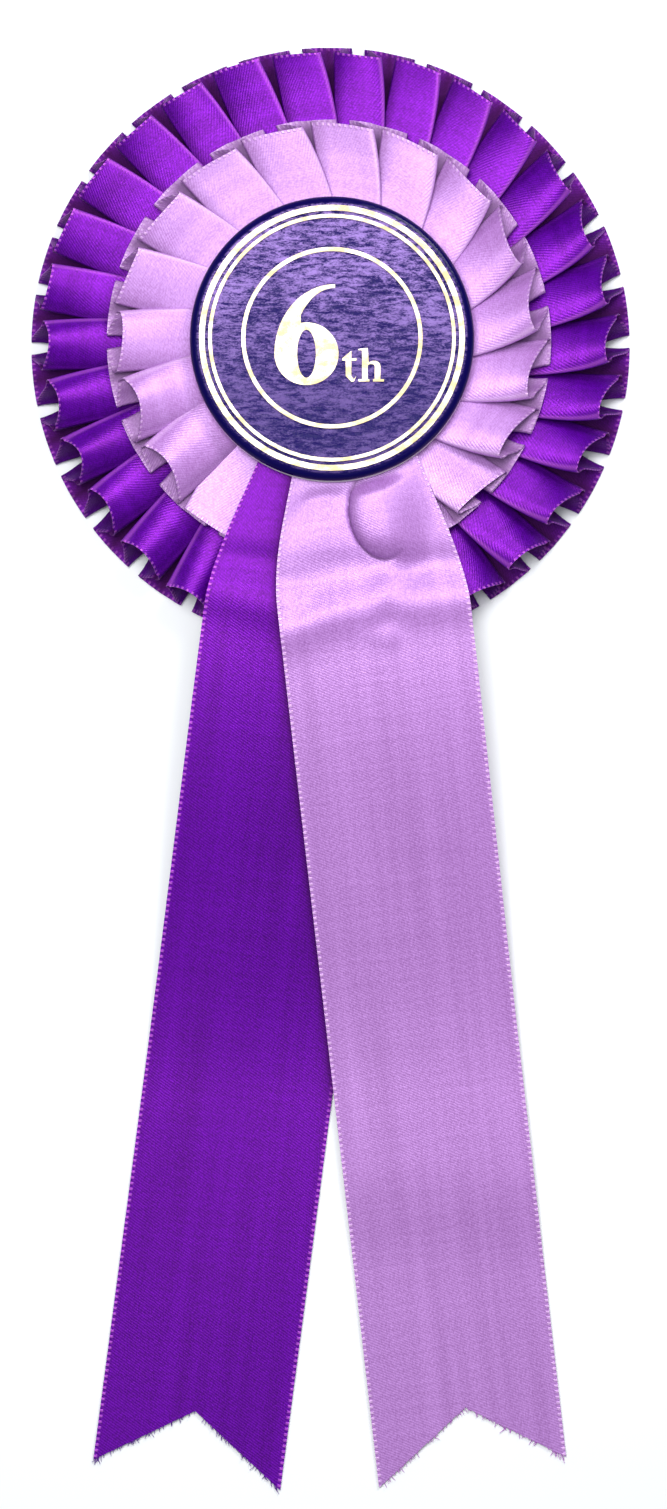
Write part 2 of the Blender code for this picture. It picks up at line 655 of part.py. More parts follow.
def build_tiers(head, purple, lilac, thread, card):
    backing = disc("backing_card", BACKING_RADIUS, BACKING_BOTTOM, BACKING_TOP)
    add_object("backing_card", backing, card, head, True)
    outer_card = disc("outer_card", OUTER_CARD_RADIUS, OUTER_CARD_BOTTOM, OUTER_CARD_TOP)
    add_object("outer_card", outer_card, card, head, True)
    under_tails = PURPLE_HIGH - TAIL_GAUGE / 2 - GAP
    outer = pleated_tier("outer_ribbon", OUTER_PLEATS, OUTER_FIRST_GAP,
                         (OUTER_SEWN_RADIUS, OUTER_STITCH_RADIUS, OUTER_CARD_RADIUS),
                         (OUTER_FRONT_RADIUS, OUTER_BACK_RADIUS),
                         (OUTER_SEWN_BOTTOM, RIM_LIFT, OUTER_RIM_HEIGHT, under_tails - RIM_CLEARANCE))
    thicken(add_object("outer_ribbon", outer, purple, head), RIBBON_GAUGE)
    outer_thread = thread_ring("outer_stitching", OUTER_STITCH_RADIUS, OUTER_THREAD_HEIGHT)
    add_object("outer_stitching", outer_thread, thread, head, True)
    inner_disc = disc("inner_card", INNER_CARD_RADIUS, INNER_CARD_BOTTOM, INNER_CARD_TOP)
    inner_card = add_object("inner_card", inner_disc, card, head, True)
    inner = pleated_tier("inner_ribbon", INNER_PLEATS, INNER_FIRST_GAP,
                         (INNER_SEWN_RADIUS, INNER_STITCH_RADIUS, INNER_CARD_RADIUS),
                         (INNER_FRONT_RADIUS, INNER_BACK_RADIUS),
                         (INNER_SEWN_BOTTOM, INNER_SEWN_BOTTOM, INNER_RIM_HEIGHT, under_tails))
    thicken(add_object("inner_ribbon", inner, lilac, head), RIBBON_GAUGE)
    inner_thread = thread_ring("inner_stitching", INNER_STITCH_RADIUS, INNER_THREAD_HEIGHT)
    add_object("inner_stitching", inner_thread, thread, head, True)
    return inner_card


def build_tail(colour, splay, height, material, head, hinge):
    """One ribbon in two solids: the root, held under the button, and the tail, which lifts."""
    root_name = "tail_" + colour + "_root"
    tail_name = "tail_" + colour
    root_end = HINGE_DISTANCE - HINGE_ROOT_GAP
    root_mesh = tail_mesh(root_name, splay, height, -TAIL_TOP, root_end, ROOT_ROW_PITCH)
    root = add_object(root_name, root_mesh, material, head)
    thicken(root, TAIL_GAUGE)
    tail_start = HINGE_DISTANCE + HINGE_TAIL_GAP
    sheet = tail_mesh(tail_name, splay, height, tail_start, None, TAIL_ROW_PITCH)
    thicken(add_object(tail_name, sheet, material, hinge), TAIL_GAUGE)
    return root


def build_button(head, board, gloss, foil, foam):
    pad = disc("centre_pad", PAD_RADIUS, PAD_BOTTOM, PAD_TOP, SMALL_ROUND_SEGMENTS)
    add_object("centre_pad", pad, foam, head, True)
    stiffener = disc("centre_board", BUTTON_RADIUS, BOARD_BOTTOM, BOARD_TOP)
    add_object("centre_board", stiffener, board, head, True)
    add_object("centre_face", turned("centre_face", button_face_profile()), gloss, head, True)
    rings = (("foil_ring_outer", OUTER_RING_RADIUS, OUTER_RING_WIDTH),
             ("foil_ring_middle", MIDDLE_RING_RADIUS, MIDDLE_RING_WIDTH),
             ("foil_ring_inner", INNER_RING_RADIUS, INNER_RING_WIDTH))
    for name, radius, width in rings:
        add_object(name, flat_ring(name, radius, width, FOIL_BOTTOM, FOIL_TOP), foil, head, True)
    add_foil_shape("foil_numeral", numeral_outlines(), foil, head)
    add_foil_shape("foil_letter_t", letter_t_outlines(), foil, head)
    add_foil_shape("foil_letter_h", letter_h_outlines(), foil, head)


def build():
    clear_scene()
    purple = make_material("purple_satin", (0.15, 0.005, 0.38), 0.42, sheen=0.6)
    lilac = make_material("lilac_satin", (0.78, 0.42, 0.92), 0.42, sheen=0.6)
    steel = make_material("steel_wire", (0.62, 0.63, 0.65), 0.25, metallic=1.0)
    white_card = make_material("white_card", (0.85, 0.84, 0.82), 0.8)
    gloss = make_material("glossy_card", (0.02, 0.0, 0.2), 0.12)
    foil = make_material("gold_foil", (0.95, 0.86, 0.62), 0.2, metallic=1.0)
    foam = make_material("pad_foam", (0.8, 0.8, 0.78), 0.9)
    thread = make_material("sewing_thread", (0.6, 0.5, 0.7), 0.7)
    tape = make_material("cloth_tape", (0.88, 0.88, 0.86), 0.85)

    head = make_empty("head_frame", (0, HEAD_Y, 0))
    hinge_place = (0, HEAD_Y - HINGE_DISTANCE, HINGE_HEIGHT)
    purple_hinge = make_empty("purple_hinge_axis", hinge_place)
    lilac_hinge = make_empty("lilac_hinge_axis", hinge_place)
    coil_axis = make_empty("pin_coil_axis", (COIL_CENTRE.x, HEAD_Y + COIL_CENTRE.y, ARM_HEIGHT))

    build_pin(head, coil_axis, steel, tape)
    stapled = [build_tiers(head, purple, lilac, thread, white_card)]
    stapled.append(build_tail("purple", PURPLE_SPLAY, purple_height, purple, head, purple_hinge))
    stapled.append(build_tail("lilac", LILAC_SPLAY, lilac_height, lilac, head, lilac_hinge))
    staple_cutter = add_cutter("staple_hole_cutter", staple_hole_shapes(), head, steel)
    for obj in stapled:
        cut(obj, staple_cutter)
    for name, place in zip(("tail_staple_upper", "tail_staple_lower"), staple_places()):
        add_object(name, staple_mesh(name, place), steel, head)
    build_button(head, white_card, gloss, foil, foam)


build()
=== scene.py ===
# A two-tier satin rosette with two dovetailed tails, lying on its back on a pale table.
# Shapes are worked out in millimetres about the rosette's centre, and placed from the frame.
import json
import math
import bpy
import numpy as np
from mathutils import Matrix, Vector


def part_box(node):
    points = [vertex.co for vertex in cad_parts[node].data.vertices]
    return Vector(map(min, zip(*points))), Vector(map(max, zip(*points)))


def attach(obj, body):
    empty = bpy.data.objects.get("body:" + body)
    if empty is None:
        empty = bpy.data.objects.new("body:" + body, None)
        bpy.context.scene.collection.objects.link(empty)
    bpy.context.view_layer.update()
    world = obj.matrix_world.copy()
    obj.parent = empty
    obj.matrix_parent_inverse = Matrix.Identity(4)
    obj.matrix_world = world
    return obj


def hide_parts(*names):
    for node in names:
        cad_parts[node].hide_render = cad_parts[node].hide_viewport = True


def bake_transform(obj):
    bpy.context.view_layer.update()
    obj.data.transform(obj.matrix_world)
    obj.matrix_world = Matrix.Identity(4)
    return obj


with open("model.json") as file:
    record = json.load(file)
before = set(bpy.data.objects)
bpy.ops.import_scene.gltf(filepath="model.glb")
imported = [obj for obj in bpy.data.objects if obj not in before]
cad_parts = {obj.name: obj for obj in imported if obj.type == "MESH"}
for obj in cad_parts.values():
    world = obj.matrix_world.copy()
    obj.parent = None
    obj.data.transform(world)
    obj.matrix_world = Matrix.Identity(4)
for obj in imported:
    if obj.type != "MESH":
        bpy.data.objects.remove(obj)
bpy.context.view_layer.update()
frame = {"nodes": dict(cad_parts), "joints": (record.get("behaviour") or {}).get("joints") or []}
print("frame: loaded", len(frame["nodes"]), "nodes")

mm = 0.001
faceLow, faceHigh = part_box("centre_face")
headX = (faceLow.x + faceHigh.x) / 2
headY = (faceLow.y + faceHigh.y) / 2
jointPlace = {joint["name"]: joint["pos_m"] for joint in frame["joints"]}


def ease(low, high, value):  # 0 below low, 1 above high, a smooth step between
    share = np.clip((value - low) / (high - low), 0, 1)
    return share * share * (3 - 2 * share)


def lerp(a, b, share):
    return a + (b - a) * share


def hump(value, middle, width):  # a bell of height 1 round the middle
    return np.exp(-((value - middle) / width) ** 2)


def placed(points):  # millimetres about the rosette's centre to metres in the frame
    return np.asarray(points, float) * mm + np.array([headX, headY, 0])


def unitNormals(points, loop):  # the cross product of the grid's two directions, at each point
    if loop:
        alongStep = np.roll(points, -1, axis=0) - np.roll(points, 1, axis=0)
    else:
        alongStep = np.gradient(points, axis=0)
    acrossStep = np.gradient(points, axis=1)
    normals = np.cross(alongStep, acrossStep)
    return normals / np.maximum(np.linalg.norm(normals, axis=2, keepdims=True), 1e-12)


def meshObject(name, points, faces, uv=None, smoothBelow=50, paintedShading=None):
    mesh = bpy.data.meshes.new(name)
    mesh.from_pydata(placed(points), [], faces)
    if uv is not None:
        layer = mesh.uv_layers.new(name="ribbon")
        layer.data.foreach_set("uv", uv.astype(np.float32).ravel())
    if paintedShading is not None:
        mesh.attributes.new("paintedShading", "FLOAT", "POINT").data.foreach_set("value", paintedShading.astype(np.float32))
    mesh.validate()
    mesh.shade_smooth()
    mesh.set_sharp_from_angle(angle=math.radians(smoothBelow))
    piece = bpy.data.objects.new(name, mesh)
    bpy.context.scene.collection.objects.link(piece)
    return piece


# A closed cloth shell on a grid: the grid's points moved half the gauge along both sides of their normals,
# joined round the open edges. along and across are each point's place on the flat ribbon. The fold mask
# is painted shade, growing to 1 the further a point lies in a fold, and below 0 a painted highlight on a
# crease;
# the wrong side gets 0.5 at least, partly for its duller reverse and partly as painted shade.
def clothShell(name, points, along, across, gauge, loop=False, normals=None, paintedShading=None):
    if normals is None:
        normals = unitNormals(points, loop)
    rows, columns = points.shape[:2]
    top = points + normals * gauge / 2
    under = points - normals * gauge / 2
    index = np.arange(rows * columns).reshape(rows, columns)
    if loop:
        index = np.vstack([index, index[:1]])
    quads = np.stack([index[:-1, :-1], index[1:, :-1], index[1:, 1:], index[:-1, 1:]], axis=-1)
    quads = quads.reshape(-1, 4)
    shift = rows * columns
    sides = [quads, quads[:, ::-1] + shift]
    uvGrid = np.stack([along, across], axis=-1)
    corner = np.stack([uvGrid[:-1, :-1], uvGrid[1:, :-1], uvGrid[1:, 1:], uvGrid[:-1, 1:]], axis=-2)
    corner = corner.reshape(-1, 4, 2)
    uvs = [corner, corner[:, ::-1]]
    borders = [(index[:, 0], uvGrid[:, 0], False), (index[:, -1], uvGrid[:, -1], True)]
    if not loop:
        borders += [(index[0], uvGrid[0], True), (index[-1], uvGrid[-1], False)]
    for line, lineUv, flipped in borders:
        wall = np.stack([line[1:], line[:-1], line[:-1] + shift, line[1:] + shift], axis=-1)
        wallUv = np.stack([lineUv[1:], lineUv[:-1], lineUv[:-1], lineUv[1:]], axis=-2)
        if flipped:
            wall, wallUv = wall[:, ::-1], wallUv[:, ::-1]
        sides.append(wall)
        uvs.append(wallUv)
    vertices = np.concatenate([top.reshape(-1, 3), under.reshape(-1, 3)])
    # The fold mask: painted shade and painted highlight on the right side, at least half shade on the wrong
    # side.
    facePaintedShading = np.zeros(shift) if paintedShading is None else paintedShading.ravel()
    bothPaintedShading = np.concatenate([facePaintedShading, np.maximum(facePaintedShading, 0.5)])
    return meshObject(name, vertices, np.concatenate(sides).tolist(), np.concatenate(uvs).reshape(-1, 2),
                      paintedShading=bothPaintedShading)


# A solid of revolution: (radius, height) points turned about the centre, with one point at each pole.
def turnedPiece(name, profile, segments, shift=(0, 0), smoothBelow=50):
    profile = np.array(profile, float)
    turn = np.linspace(0, 2 * math.pi, segments, endpoint=False)
    rings = profile[1:-1]
    x = rings[:, :1] * np.cos(turn) + shift[0]
    y = rings[:, :1] * np.sin(turn) + shift[1]
    z = np.repeat(rings[:, 1:], segments, axis=1)
    body = np.stack([x, y, z], axis=-1).reshape(-1, 3)
    poles = [[shift[0], shift[1], profile[0, 1]], [shift[0], shift[1], profile[-1, 1]]]
    index = np.arange(len(body)).reshape(len(rings), segments)
    after = np.roll(index, -1, axis=1)
    quads = np.stack([index[:-1], index[1:], after[1:], after[:-1]], axis=-1).reshape(-1, 4)
    first, last = len(body), len(body) + 1
    topFan = np.stack([np.full(segments, first), index[0], after[0]], axis=-1)
    endFan = np.stack([np.full(segments, last), after[-1], index[-1]], axis=-1)
    faces = quads.tolist() + topFan.tolist() + endFan.tolist()
    return meshObject(name, np.concatenate([body, poles]), faces, smoothBelow=smoothBelow)


# Round tubes: circles square to each path, with a point at each end. paths is (tubes, points, 3), and the
# circles' directions come from the path's own and a fixed one that no path runs along.
def tubes(name, paths, radii, sides, upwards=(0, 0, 1)):
    paths = np.asarray(paths, float)
    count, length = paths.shape[:2]
    ahead = np.gradient(paths, axis=1)
    ahead /= np.linalg.norm(ahead, axis=2, keepdims=True)
    aside = np.cross(ahead, np.array(upwards, float))
    aside /= np.linalg.norm(aside, axis=2, keepdims=True)
    above = np.cross(aside, ahead)
    turn = np.linspace(0, 2 * math.pi, sides, endpoint=False)
    radii = np.broadcast_to(radii, (count, length))[:, :, None, None]
    circle = aside[:, :, None] * np.cos(turn)[:, None] + above[:, :, None] * np.sin(turn)[:, None]
    skin = paths[:, :, None] + radii * circle
    body = skin.reshape(-1, 3)
    ends = np.stack([paths[:, 0], paths[:, -1]], axis=1).reshape(-1, 3)
    index = np.arange(len(body)).reshape(count, length, sides)
    after = np.roll(index, -1, axis=2)
    quads = np.stack([index[:, :-1], after[:, :-1], after[:, 1:], index[:, 1:]], axis=-1).reshape(-1, 4)
    tip = len(body) + np.arange(count * 2).reshape(count, 2)
    startFan = np.stack([np.repeat(tip[:, :1], sides, 1), after[:, 0], index[:, 0]], axis=-1).reshape(-1, 3)
    endFan = np.stack([np.repeat(tip[:, 1:], sides, 1), index[:, -1], after[:, -1]], axis=-1).reshape(-1, 3)
    faces = quads.tolist() + startFan.tolist() + endFan.tolist()
    return meshObject(name, np.concatenate([body, ends]), faces)


def newMaterial(name):
    material = bpy.data.materials.new(name)
    material.use_nodes = True
    return material, material.node_tree, material.node_tree.nodes["Principled BSDF"]


def addNode(tree, kind, settings=None, inputs=None):
    node = tree.nodes.new(kind)
    for key, value in (settings or {}).items():
        setattr(node, key, value)
    for key, value in (inputs or {}).items():
        if isinstance(value, bpy.types.NodeSocket):
            tree.links.new(value, node.inputs[key])
        else:
            node.inputs[key].default_value = value
    return node


def maths(tree, operation, one, other=0.0):
    return addNode(tree, "ShaderNodeMath", {"operation": operation}, {0: one, 1: other}).outputs[0]


def spread(tree, value, fromLow, fromHigh, toLow=0.0, toHigh=1.0):  # a smooth step between two values
    inputs = {"Value": value, "From Min": fromLow, "From Max": fromHigh, "To Min": toLow, "To Max": toHigh}
    return addNode(tree, "ShaderNodeMapRange", {"interpolation_type": "SMOOTHSTEP"}, inputs).outputs[0]


def blendColour(tree, share, one, other, how="MIX"):
    node = addNode(tree, "ShaderNodeMix", {"data_type": "RGBA", "blend_type": how})
    for slot, value in ((0, share), (6, one), (7, other)):
        if isinstance(value, bpy.types.NodeSocket):
            tree.links.new(value, node.inputs[slot])
        else:
            node.inputs[slot].default_value = value if slot == 0 else (*value, 1)
    return node.outputs[2]


def noiseOn(tree, place, scale, detail=2.0, rough=0.5, distortion=0.0):
    inputs = {"Vector": place, "Scale": scale, "Detail": detail, "Roughness": rough,
              "Distortion": distortion}
    return addNode(tree, "ShaderNodeTexNoise", None, inputs).outputs["Fac"]


def stretched(tree, place, scale, turn=0.0):
    inputs = {"Vector": place, "Scale": scale, "Rotation": (0, 0, turn)}
    return addNode(tree, "ShaderNodeMapping", None, inputs).outputs[0]


def setShader(shader, values):
    for key, value in values.items():
        shader.inputs[key].default_value = value


def weighted(tree, *pairs):  # the sum of each value times its weight
    total = maths(tree, "MULTIPLY", *pairs[0])
    for value, weight in pairs[1:]:
        total = maths(tree, "ADD", total, maths(tree, "MULTIPLY", value, weight))
    return total


def feed(tree, shader, socket, value):
    tree.links.new(value, shader.inputs[socket])


def bumped(tree, shader, height, strength, distance):
    inputs = {"Strength": strength, "Distance": distance, "Height": height}
    feed(tree, shader, "Normal", addNode(tree, "ShaderNodeBump", None, inputs).outputs[0])


# Satin ribbon: fine slanting floats, faint bars across and bands along, and a woven selvedge with a dash
# at each turn of the weft. The ribbon UV map is in millimetres: along the ribbon, and across from one edge.
def satin(name, look):
    material, tree, shader = newMaterial(name)
    ribbon = addNode(tree, "ShaderNodeUVMap", {"uv_map": "ribbon"}).outputs[0]
    parts = addNode(tree, "ShaderNodeSeparateXYZ", None, {0: ribbon})
    along, across = parts.outputs[0], parts.outputs[1]
    floats = addNode(tree, "ShaderNodeTexWave", {"wave_type": "BANDS", "bands_direction": "X"}, {
        "Vector": stretched(tree, ribbon, (1, 1, 1), look["floatAngle"]), "Scale": look["floatScale"],
        "Distortion": 1.2, "Detail": 1.0, "Detail Scale": 1.5}).outputs["Fac"]
    grain = noiseOn(tree, stretched(tree, ribbon, (1.3, 2.8, 1), look["floatAngle"]), 1.0, 4.0, 0.75)
    bars = noiseOn(tree, stretched(tree, ribbon, (1.1, 0.03, 1)), 1.0, 3.0, 0.6)
    bands = noiseOn(tree, stretched(tree, ribbon, (0.015, 0.35, 1)), 1.0, 2.0, 0.5)
    middle = look["width"] / 2
    fromMiddle = maths(tree, "ABSOLUTE", maths(tree, "SUBTRACT", across, middle))
    inward = maths(tree, "SUBTRACT", middle, fromMiddle)
    selvedge = spread(tree, inward, look["selvedge"], look["selvedge"] * 0.6)
    turnOfWeft = maths(tree, "SINE", maths(tree, "MULTIPLY", along, 2 * math.pi / look["weftTurn"]))
    dash = maths(tree, "MULTIPLY", selvedge, spread(tree, turnOfWeft, -0.2, 0.6))
    shade = weighted(tree, (grain, 0.7), (bars, 0.12), (bands, 0.18))
    colour = blendColour(tree, spread(tree, shade, 0.36, 0.64), look["dark"], look["light"])
    colour = blendColour(tree, maths(tree, "MULTIPLY", floats, look["floatShade"]), colour, look["dark"])
    colour = blendColour(tree, maths(tree, "MULTIPLY", dash, look["dashShare"]), colour, look["dash"])
    # Painted shade: the fold mask darkens the colour towards a darker copy of the dark tone in folds, gaps
    # and beside the other tail. Below 0 it paints a highlight in the dash colour along the creases.
    paintedShading = addNode(tree, "ShaderNodeAttribute", {"attribute_name": "paintedShading"}).outputs["Fac"]
    shadeColour = tuple(part * look["paintedShadeLevel"] for part in look["dark"])
    paintedShade = maths(tree, "MAXIMUM", paintedShading, 0.0)
    paintedHighlight = maths(tree, "MAXIMUM", maths(tree, "MULTIPLY", paintedShading, -1.0), 0.0)
    colour = blendColour(tree, maths(tree, "MULTIPLY", paintedShade, 0.95), colour, shadeColour)
    feed(tree, shader, "Base Color", blendColour(tree, paintedHighlight, colour, look["dash"]))
    rough = spread(tree, shade, 0.3, 0.7, look["rough"] + 0.05, look["rough"] - 0.05)
    feed(tree, shader, "Roughness", maths(tree, "ADD", rough, maths(tree, "MULTIPLY", paintedShade, 0.3)))
    relief = weighted(tree, (floats, 0.35), (grain, 0.7), (dash, 1.6))
    bumped(tree, shader, relief, look["relief"], 0.12 * mm)
    tangent = addNode(tree, "ShaderNodeTangent", {"direction_type": "UV_MAP", "uv_map": "ribbon"})
    feed(tree, shader, "Tangent", tangent.outputs[0])
    setShader(shader, {"Specular IOR Level": look["gloss"], "Specular Tint": (*look["tint"], 1),
                       "Anisotropic": 0.45, "Anisotropic Rotation": 0.25, "Metallic": look["metal"]})
    return material


# Each look's last value scales its dark tone down to the colour of the painted shade in folds, and its dash
# colour is also painted as the highlight on creases.
purpleLook = {
    "dark": (0.042, 0.0, 0.17), "light": (0.135, 0.001, 0.46), "dash": (0.60, 0.14, 0.76),
    "tint": (1.0, 0.16, 1.0), "width": 25.0, "selvedge": 0.85, "weftTurn": 1.15, "dashShare": 0.6,
    "floatAngle": math.radians(28), "floatScale": 0.64, "floatShade": 0.5, "rough": 0.40, "relief": 0.5,
    "gloss": 1.0, "metal": 0.26, "paintedShadeLevel": 0.20,
}
lilacLook = dict(
    purpleLook, dark=(0.33, 0.125, 0.44), light=(0.53, 0.25, 0.70), dash=(0.84, 0.55, 0.90),
    tint=(1.0, 0.93, 0.97), floatShade=0.25, dashShare=0.5, metal=0.20, relief=0.42, paintedShadeLevel=0.50,
)
# The pleat satins are lighter copies of the tail satins: painted light for the brighter light on the pleats.
purpleRibbon = satin("purple_pleat_satin", dict(purpleLook, light=(0.165, 0.003, 0.52)))
lilacRibbon = satin("lilac_pleat_satin", dict(lilacLook, dark=(0.38, 0.15, 0.49), light=(0.60, 0.31, 0.78)))
purpleTail = satin("purple_tail_satin", dict(purpleLook, width=38.0))
lilacTail = satin("lilac_tail_satin", dict(lilacLook, width=38.0))
print("materials: satins")


# Laminated card: navy under a clear film that has pulled into long, slightly wavy ripples. The violet
# streaks along the ripples are a painted reflection, painted fainter towards the lower side, and a plain
# dark rim goes round them.
def laminatedCard(look):
    material, tree, shader = newMaterial("laminated_card")
    place = addNode(tree, "ShaderNodeTexCoord").outputs["Object"]
    ripple = noiseOn(tree, stretched(tree, place, (330, 1150, 1)), 1.0, 6.0, 0.68, 0.5)
    fine = noiseOn(tree, stretched(tree, place, (1900, 3800, 1)), 1.0, 3.0, 0.75)
    cloud = noiseOn(tree, stretched(tree, place, (60, 130, 1)), 1.0, 2.0)
    centred = addNode(tree, "ShaderNodeVectorMath", {"operation": "SUBTRACT"},
                      {0: place, 1: (headX, headY, 0)}).outputs[0]
    flat = addNode(tree, "ShaderNodeVectorMath", {"operation": "MULTIPLY"},
                   {0: centred, 1: (1, 1, 0)}).outputs[0]
    radius = addNode(tree, "ShaderNodeVectorMath", {"operation": "LENGTH"}, {0: flat}).outputs["Value"]
    # Painted reflection: the streaks mix the dark tone towards the light one, painted fainter towards the
    # lower side.
    paintedStreak = weighted(tree, (ripple, 0.50), (fine, 0.32), (cloud, 0.18))
    paintedStreak = spread(tree, paintedStreak, look["streakLow"], look["streakHigh"])
    upward = addNode(tree, "ShaderNodeSeparateXYZ", None, {0: centred}).outputs[1]
    paintedFalloff = spread(tree, upward, -look["falloffSpan"] * mm, look["falloffSpan"] * mm, look["lowShare"], 1.0)
    field = blendColour(tree, maths(tree, "MULTIPLY", paintedStreak, paintedFalloff), look["dark"], look["light"])
    rim = spread(tree, radius, look["rimFrom"] * mm, look["rimFull"] * mm)
    feed(tree, shader, "Base Color", blendColour(tree, rim, field, look["rim"]))
    smoother = maths(tree, "SUBTRACT", 1.0, maths(tree, "MULTIPLY", rim, 0.8))
    relief = maths(tree, "MULTIPLY", weighted(tree, (ripple, 1.0), (fine, 0.25)), smoother)
    bumped(tree, shader, relief, 1.0, 0.3 * mm)
    feed(tree, shader, "Roughness", spread(tree, rim, 0, 1, *look["rough"]))
    setShader(shader, {"Specular IOR Level": 0.16})
    return material


# The light tone is the colour of the painted reflection, and the last two values set how it is painted
# fainter towards the lower side.
cardLook = {
    "dark": (0.006, 0.0, 0.10), "light": (0.34, 0.21, 0.62), "rim": (0.002, 0.0, 0.060),
    "rimFrom": 26.3, "rimFull": 26.8, "streakLow": 0.44, "streakHigh": 0.58, "rough": (0.24, 0.1),
    "falloffSpan": 18, "lowShare": 0.35,
}


# Hot-stamped foil: pale gold that has taken unevenly, so it mottles from cream to a warmer gold.
def stampedFoil(look):
    material, tree, shader = newMaterial("stamped_foil")
    place = addNode(tree, "ShaderNodeTexCoord").outputs["Object"]
    patch = noiseOn(tree, stretched(tree, place, (260, 420, 1)), 1.0, 3.0, 0.6)
    fleck = noiseOn(tree, place, 3200.0, 2.0, 0.6)
    share = spread(tree, weighted(tree, (patch, 0.7), (fleck, 0.3)), 0.44, 0.62)
    feed(tree, shader, "Base Color", blendColour(tree, share, look["cream"], look["gold"]))
    feed(tree, shader, "Roughness", spread(tree, patch, 0.35, 0.65, 0.34, 0.5))
    bumped(tree, shader, patch, 0.35, 0.1 * mm)
    setShader(shader, {"Metallic": look["metal"]})
    return material


foilLook = {"cream": (0.62, 0.54, 0.41), "gold": (0.52, 0.41, 0.22), "metal": 0.6}


# Uncoated board: warm white with pale fibres and a faint mottle.
def plainCard(name, colour, shade):
    material, tree, shader = newMaterial(name)
    place = addNode(tree, "ShaderNodeTexCoord").outputs["Object"]
    fibre = noiseOn(tree, stretched(tree, place, (900, 260, 900), 0.6), 1.0, 4.0, 0.7)
    mottle = noiseOn(tree, place, 90.0, 2.0)
    share = spread(tree, weighted(tree, (fibre, 0.6), (mottle, 0.4)), 0.4, 0.62)
    feed(tree, shader, "Base Color", blendColour(tree, share, shade, colour))
    feed(tree, shader, "Roughness", spread(tree, fibre, 0.3, 0.7, 0.78, 0.92))
    bumped(tree, shader, fibre, 0.4, 0.08 * mm)
    setShader(shader, {"Specular IOR Level": 0.3})
    return material


# Plated wire: bright nickel with fine drawing marks along it and a little dulling.
def platedWire(name, colour, rough):
    material, tree, shader = newMaterial(name)
    place = addNode(tree, "ShaderNodeTexCoord").outputs["Object"]
    drawn = noiseOn(tree, stretched(tree, place, (300, 4000, 4000)), 1.0, 3.0, 0.6)
    dull = noiseOn(tree, place, 420.0, 3.0, 0.6)
    dulled = tuple(part * 0.72 for part in colour)
    feed(tree, shader, "Base Color", blendColour(tree, spread(tree, dull, 0.42, 0.66), colour, dulled))
    feed(tree, shader, "Roughness", spread(tree, dull, 0.3, 0.7, rough, rough + 0.18))
    bumped(tree, shader, drawn, 0.3, 0.03 * mm)
    setShader(shader, {"Metallic": 1.0})
    return material


# Woven tape and sewing thread: two crossed sets of yarns.
def wovenTape(name, colour, pitch, sheen=0.3):
    material, tree, shader = newMaterial(name)
    place = addNode(tree, "ShaderNodeTexCoord").outputs["Object"]
    scale = 2 * math.pi / (20 * pitch * mm)
    yarns = [addNode(tree, "ShaderNodeTexWave", {"bands_direction": way},
                     {"Vector": place, "Scale": scale, "Distortion": 0.4}).outputs["Fac"] for way in "XY"]
    weave = maths(tree, "MULTIPLY", yarns[0], yarns[1])
    darker = tuple(part * 0.7 for part in colour)
    feed(tree, shader, "Base Color", blendColour(tree, weave, darker, colour))
    bumped(tree, shader, weave, 0.6, 0.1 * mm)
    setShader(shader, {"Roughness": 0.85, "Sheen Weight": sheen, "Specular IOR Level": 0.25})
    return material


cardMaterial = laminatedCard(cardLook)
foilMaterial = stampedFoil(foilLook)
boardMaterial = plainCard("white_board", (0.86, 0.85, 0.83), (0.72, 0.71, 0.70))
pinMaterial = platedWire("nickel_wire", (0.72, 0.72, 0.73), 0.2)
stapleMaterial = platedWire("staple_wire", (0.60, 0.61, 0.62), 0.34)
tapeMaterial = wovenTape("cotton_tape", (0.88, 0.87, 0.84), 0.45)
threadMaterial = wovenTape("sewing_thread", (0.62, 0.50, 0.72), 0.3)
purpleThread = wovenTape("purple_thread", (0.15, 0.004, 0.42), 0.12, 0.0)
lilacThread = wovenTape("lilac_thread", (0.66, 0.18, 0.82), 0.12, 0.0)
foamMaterial = plainCard("pad_foam", (0.80, 0.80, 0.77), (0.62, 0.62, 0.60))
print("materials: card, foil, wire, tape")


# Angles are clockwise from straight up, seen from the front. Each pleat is a closed box pleat: a front panel
# whose clockwise edge rides over the next one, two middles that run back under it, and two half backs.
# The shut, left and right rims are (low edge, high edge, swell between them) at the open end of a pleat.
outerTier = {
    "name": "outer_pleats", "replaces": "outer_ribbon", "slot": "purple_satin",
    "pleats": 30, "firstGap": -1.0, "ribbonWidth": 25.0, "ribbonPerPleat": 31.0, "sewnRadius": 35.0,
    "gauge": 0.26,
    "floorSewn": 6.0, "floorLevelTo": 41.0, "floorRim": 0.25, "lowEdgeSewn": 6.6, "highEdgeSewn": 7.15,
    "shutRim": (8.2, 10.2, 0.6), "leftRim": (7.0, 8.4, 3.0), "rightRim": (6.2, 10.6, 1.0),
    "recess": (3.0, 5.4), "recessCurve": 1.3, "riseCurve": 0.9, "offset": 0.3, "partedRim": 0.10,
    "slant": (3.2, 0.3), "notch": 1.15, "notchFrom": 16.0, "frontFold": (0.45, 0.85),
    "rolledFold": (0.45, 1.1), "pressedTop": 9.9, "unevenness": (1.3, 205.0, 110.0), "seed": 11,
}
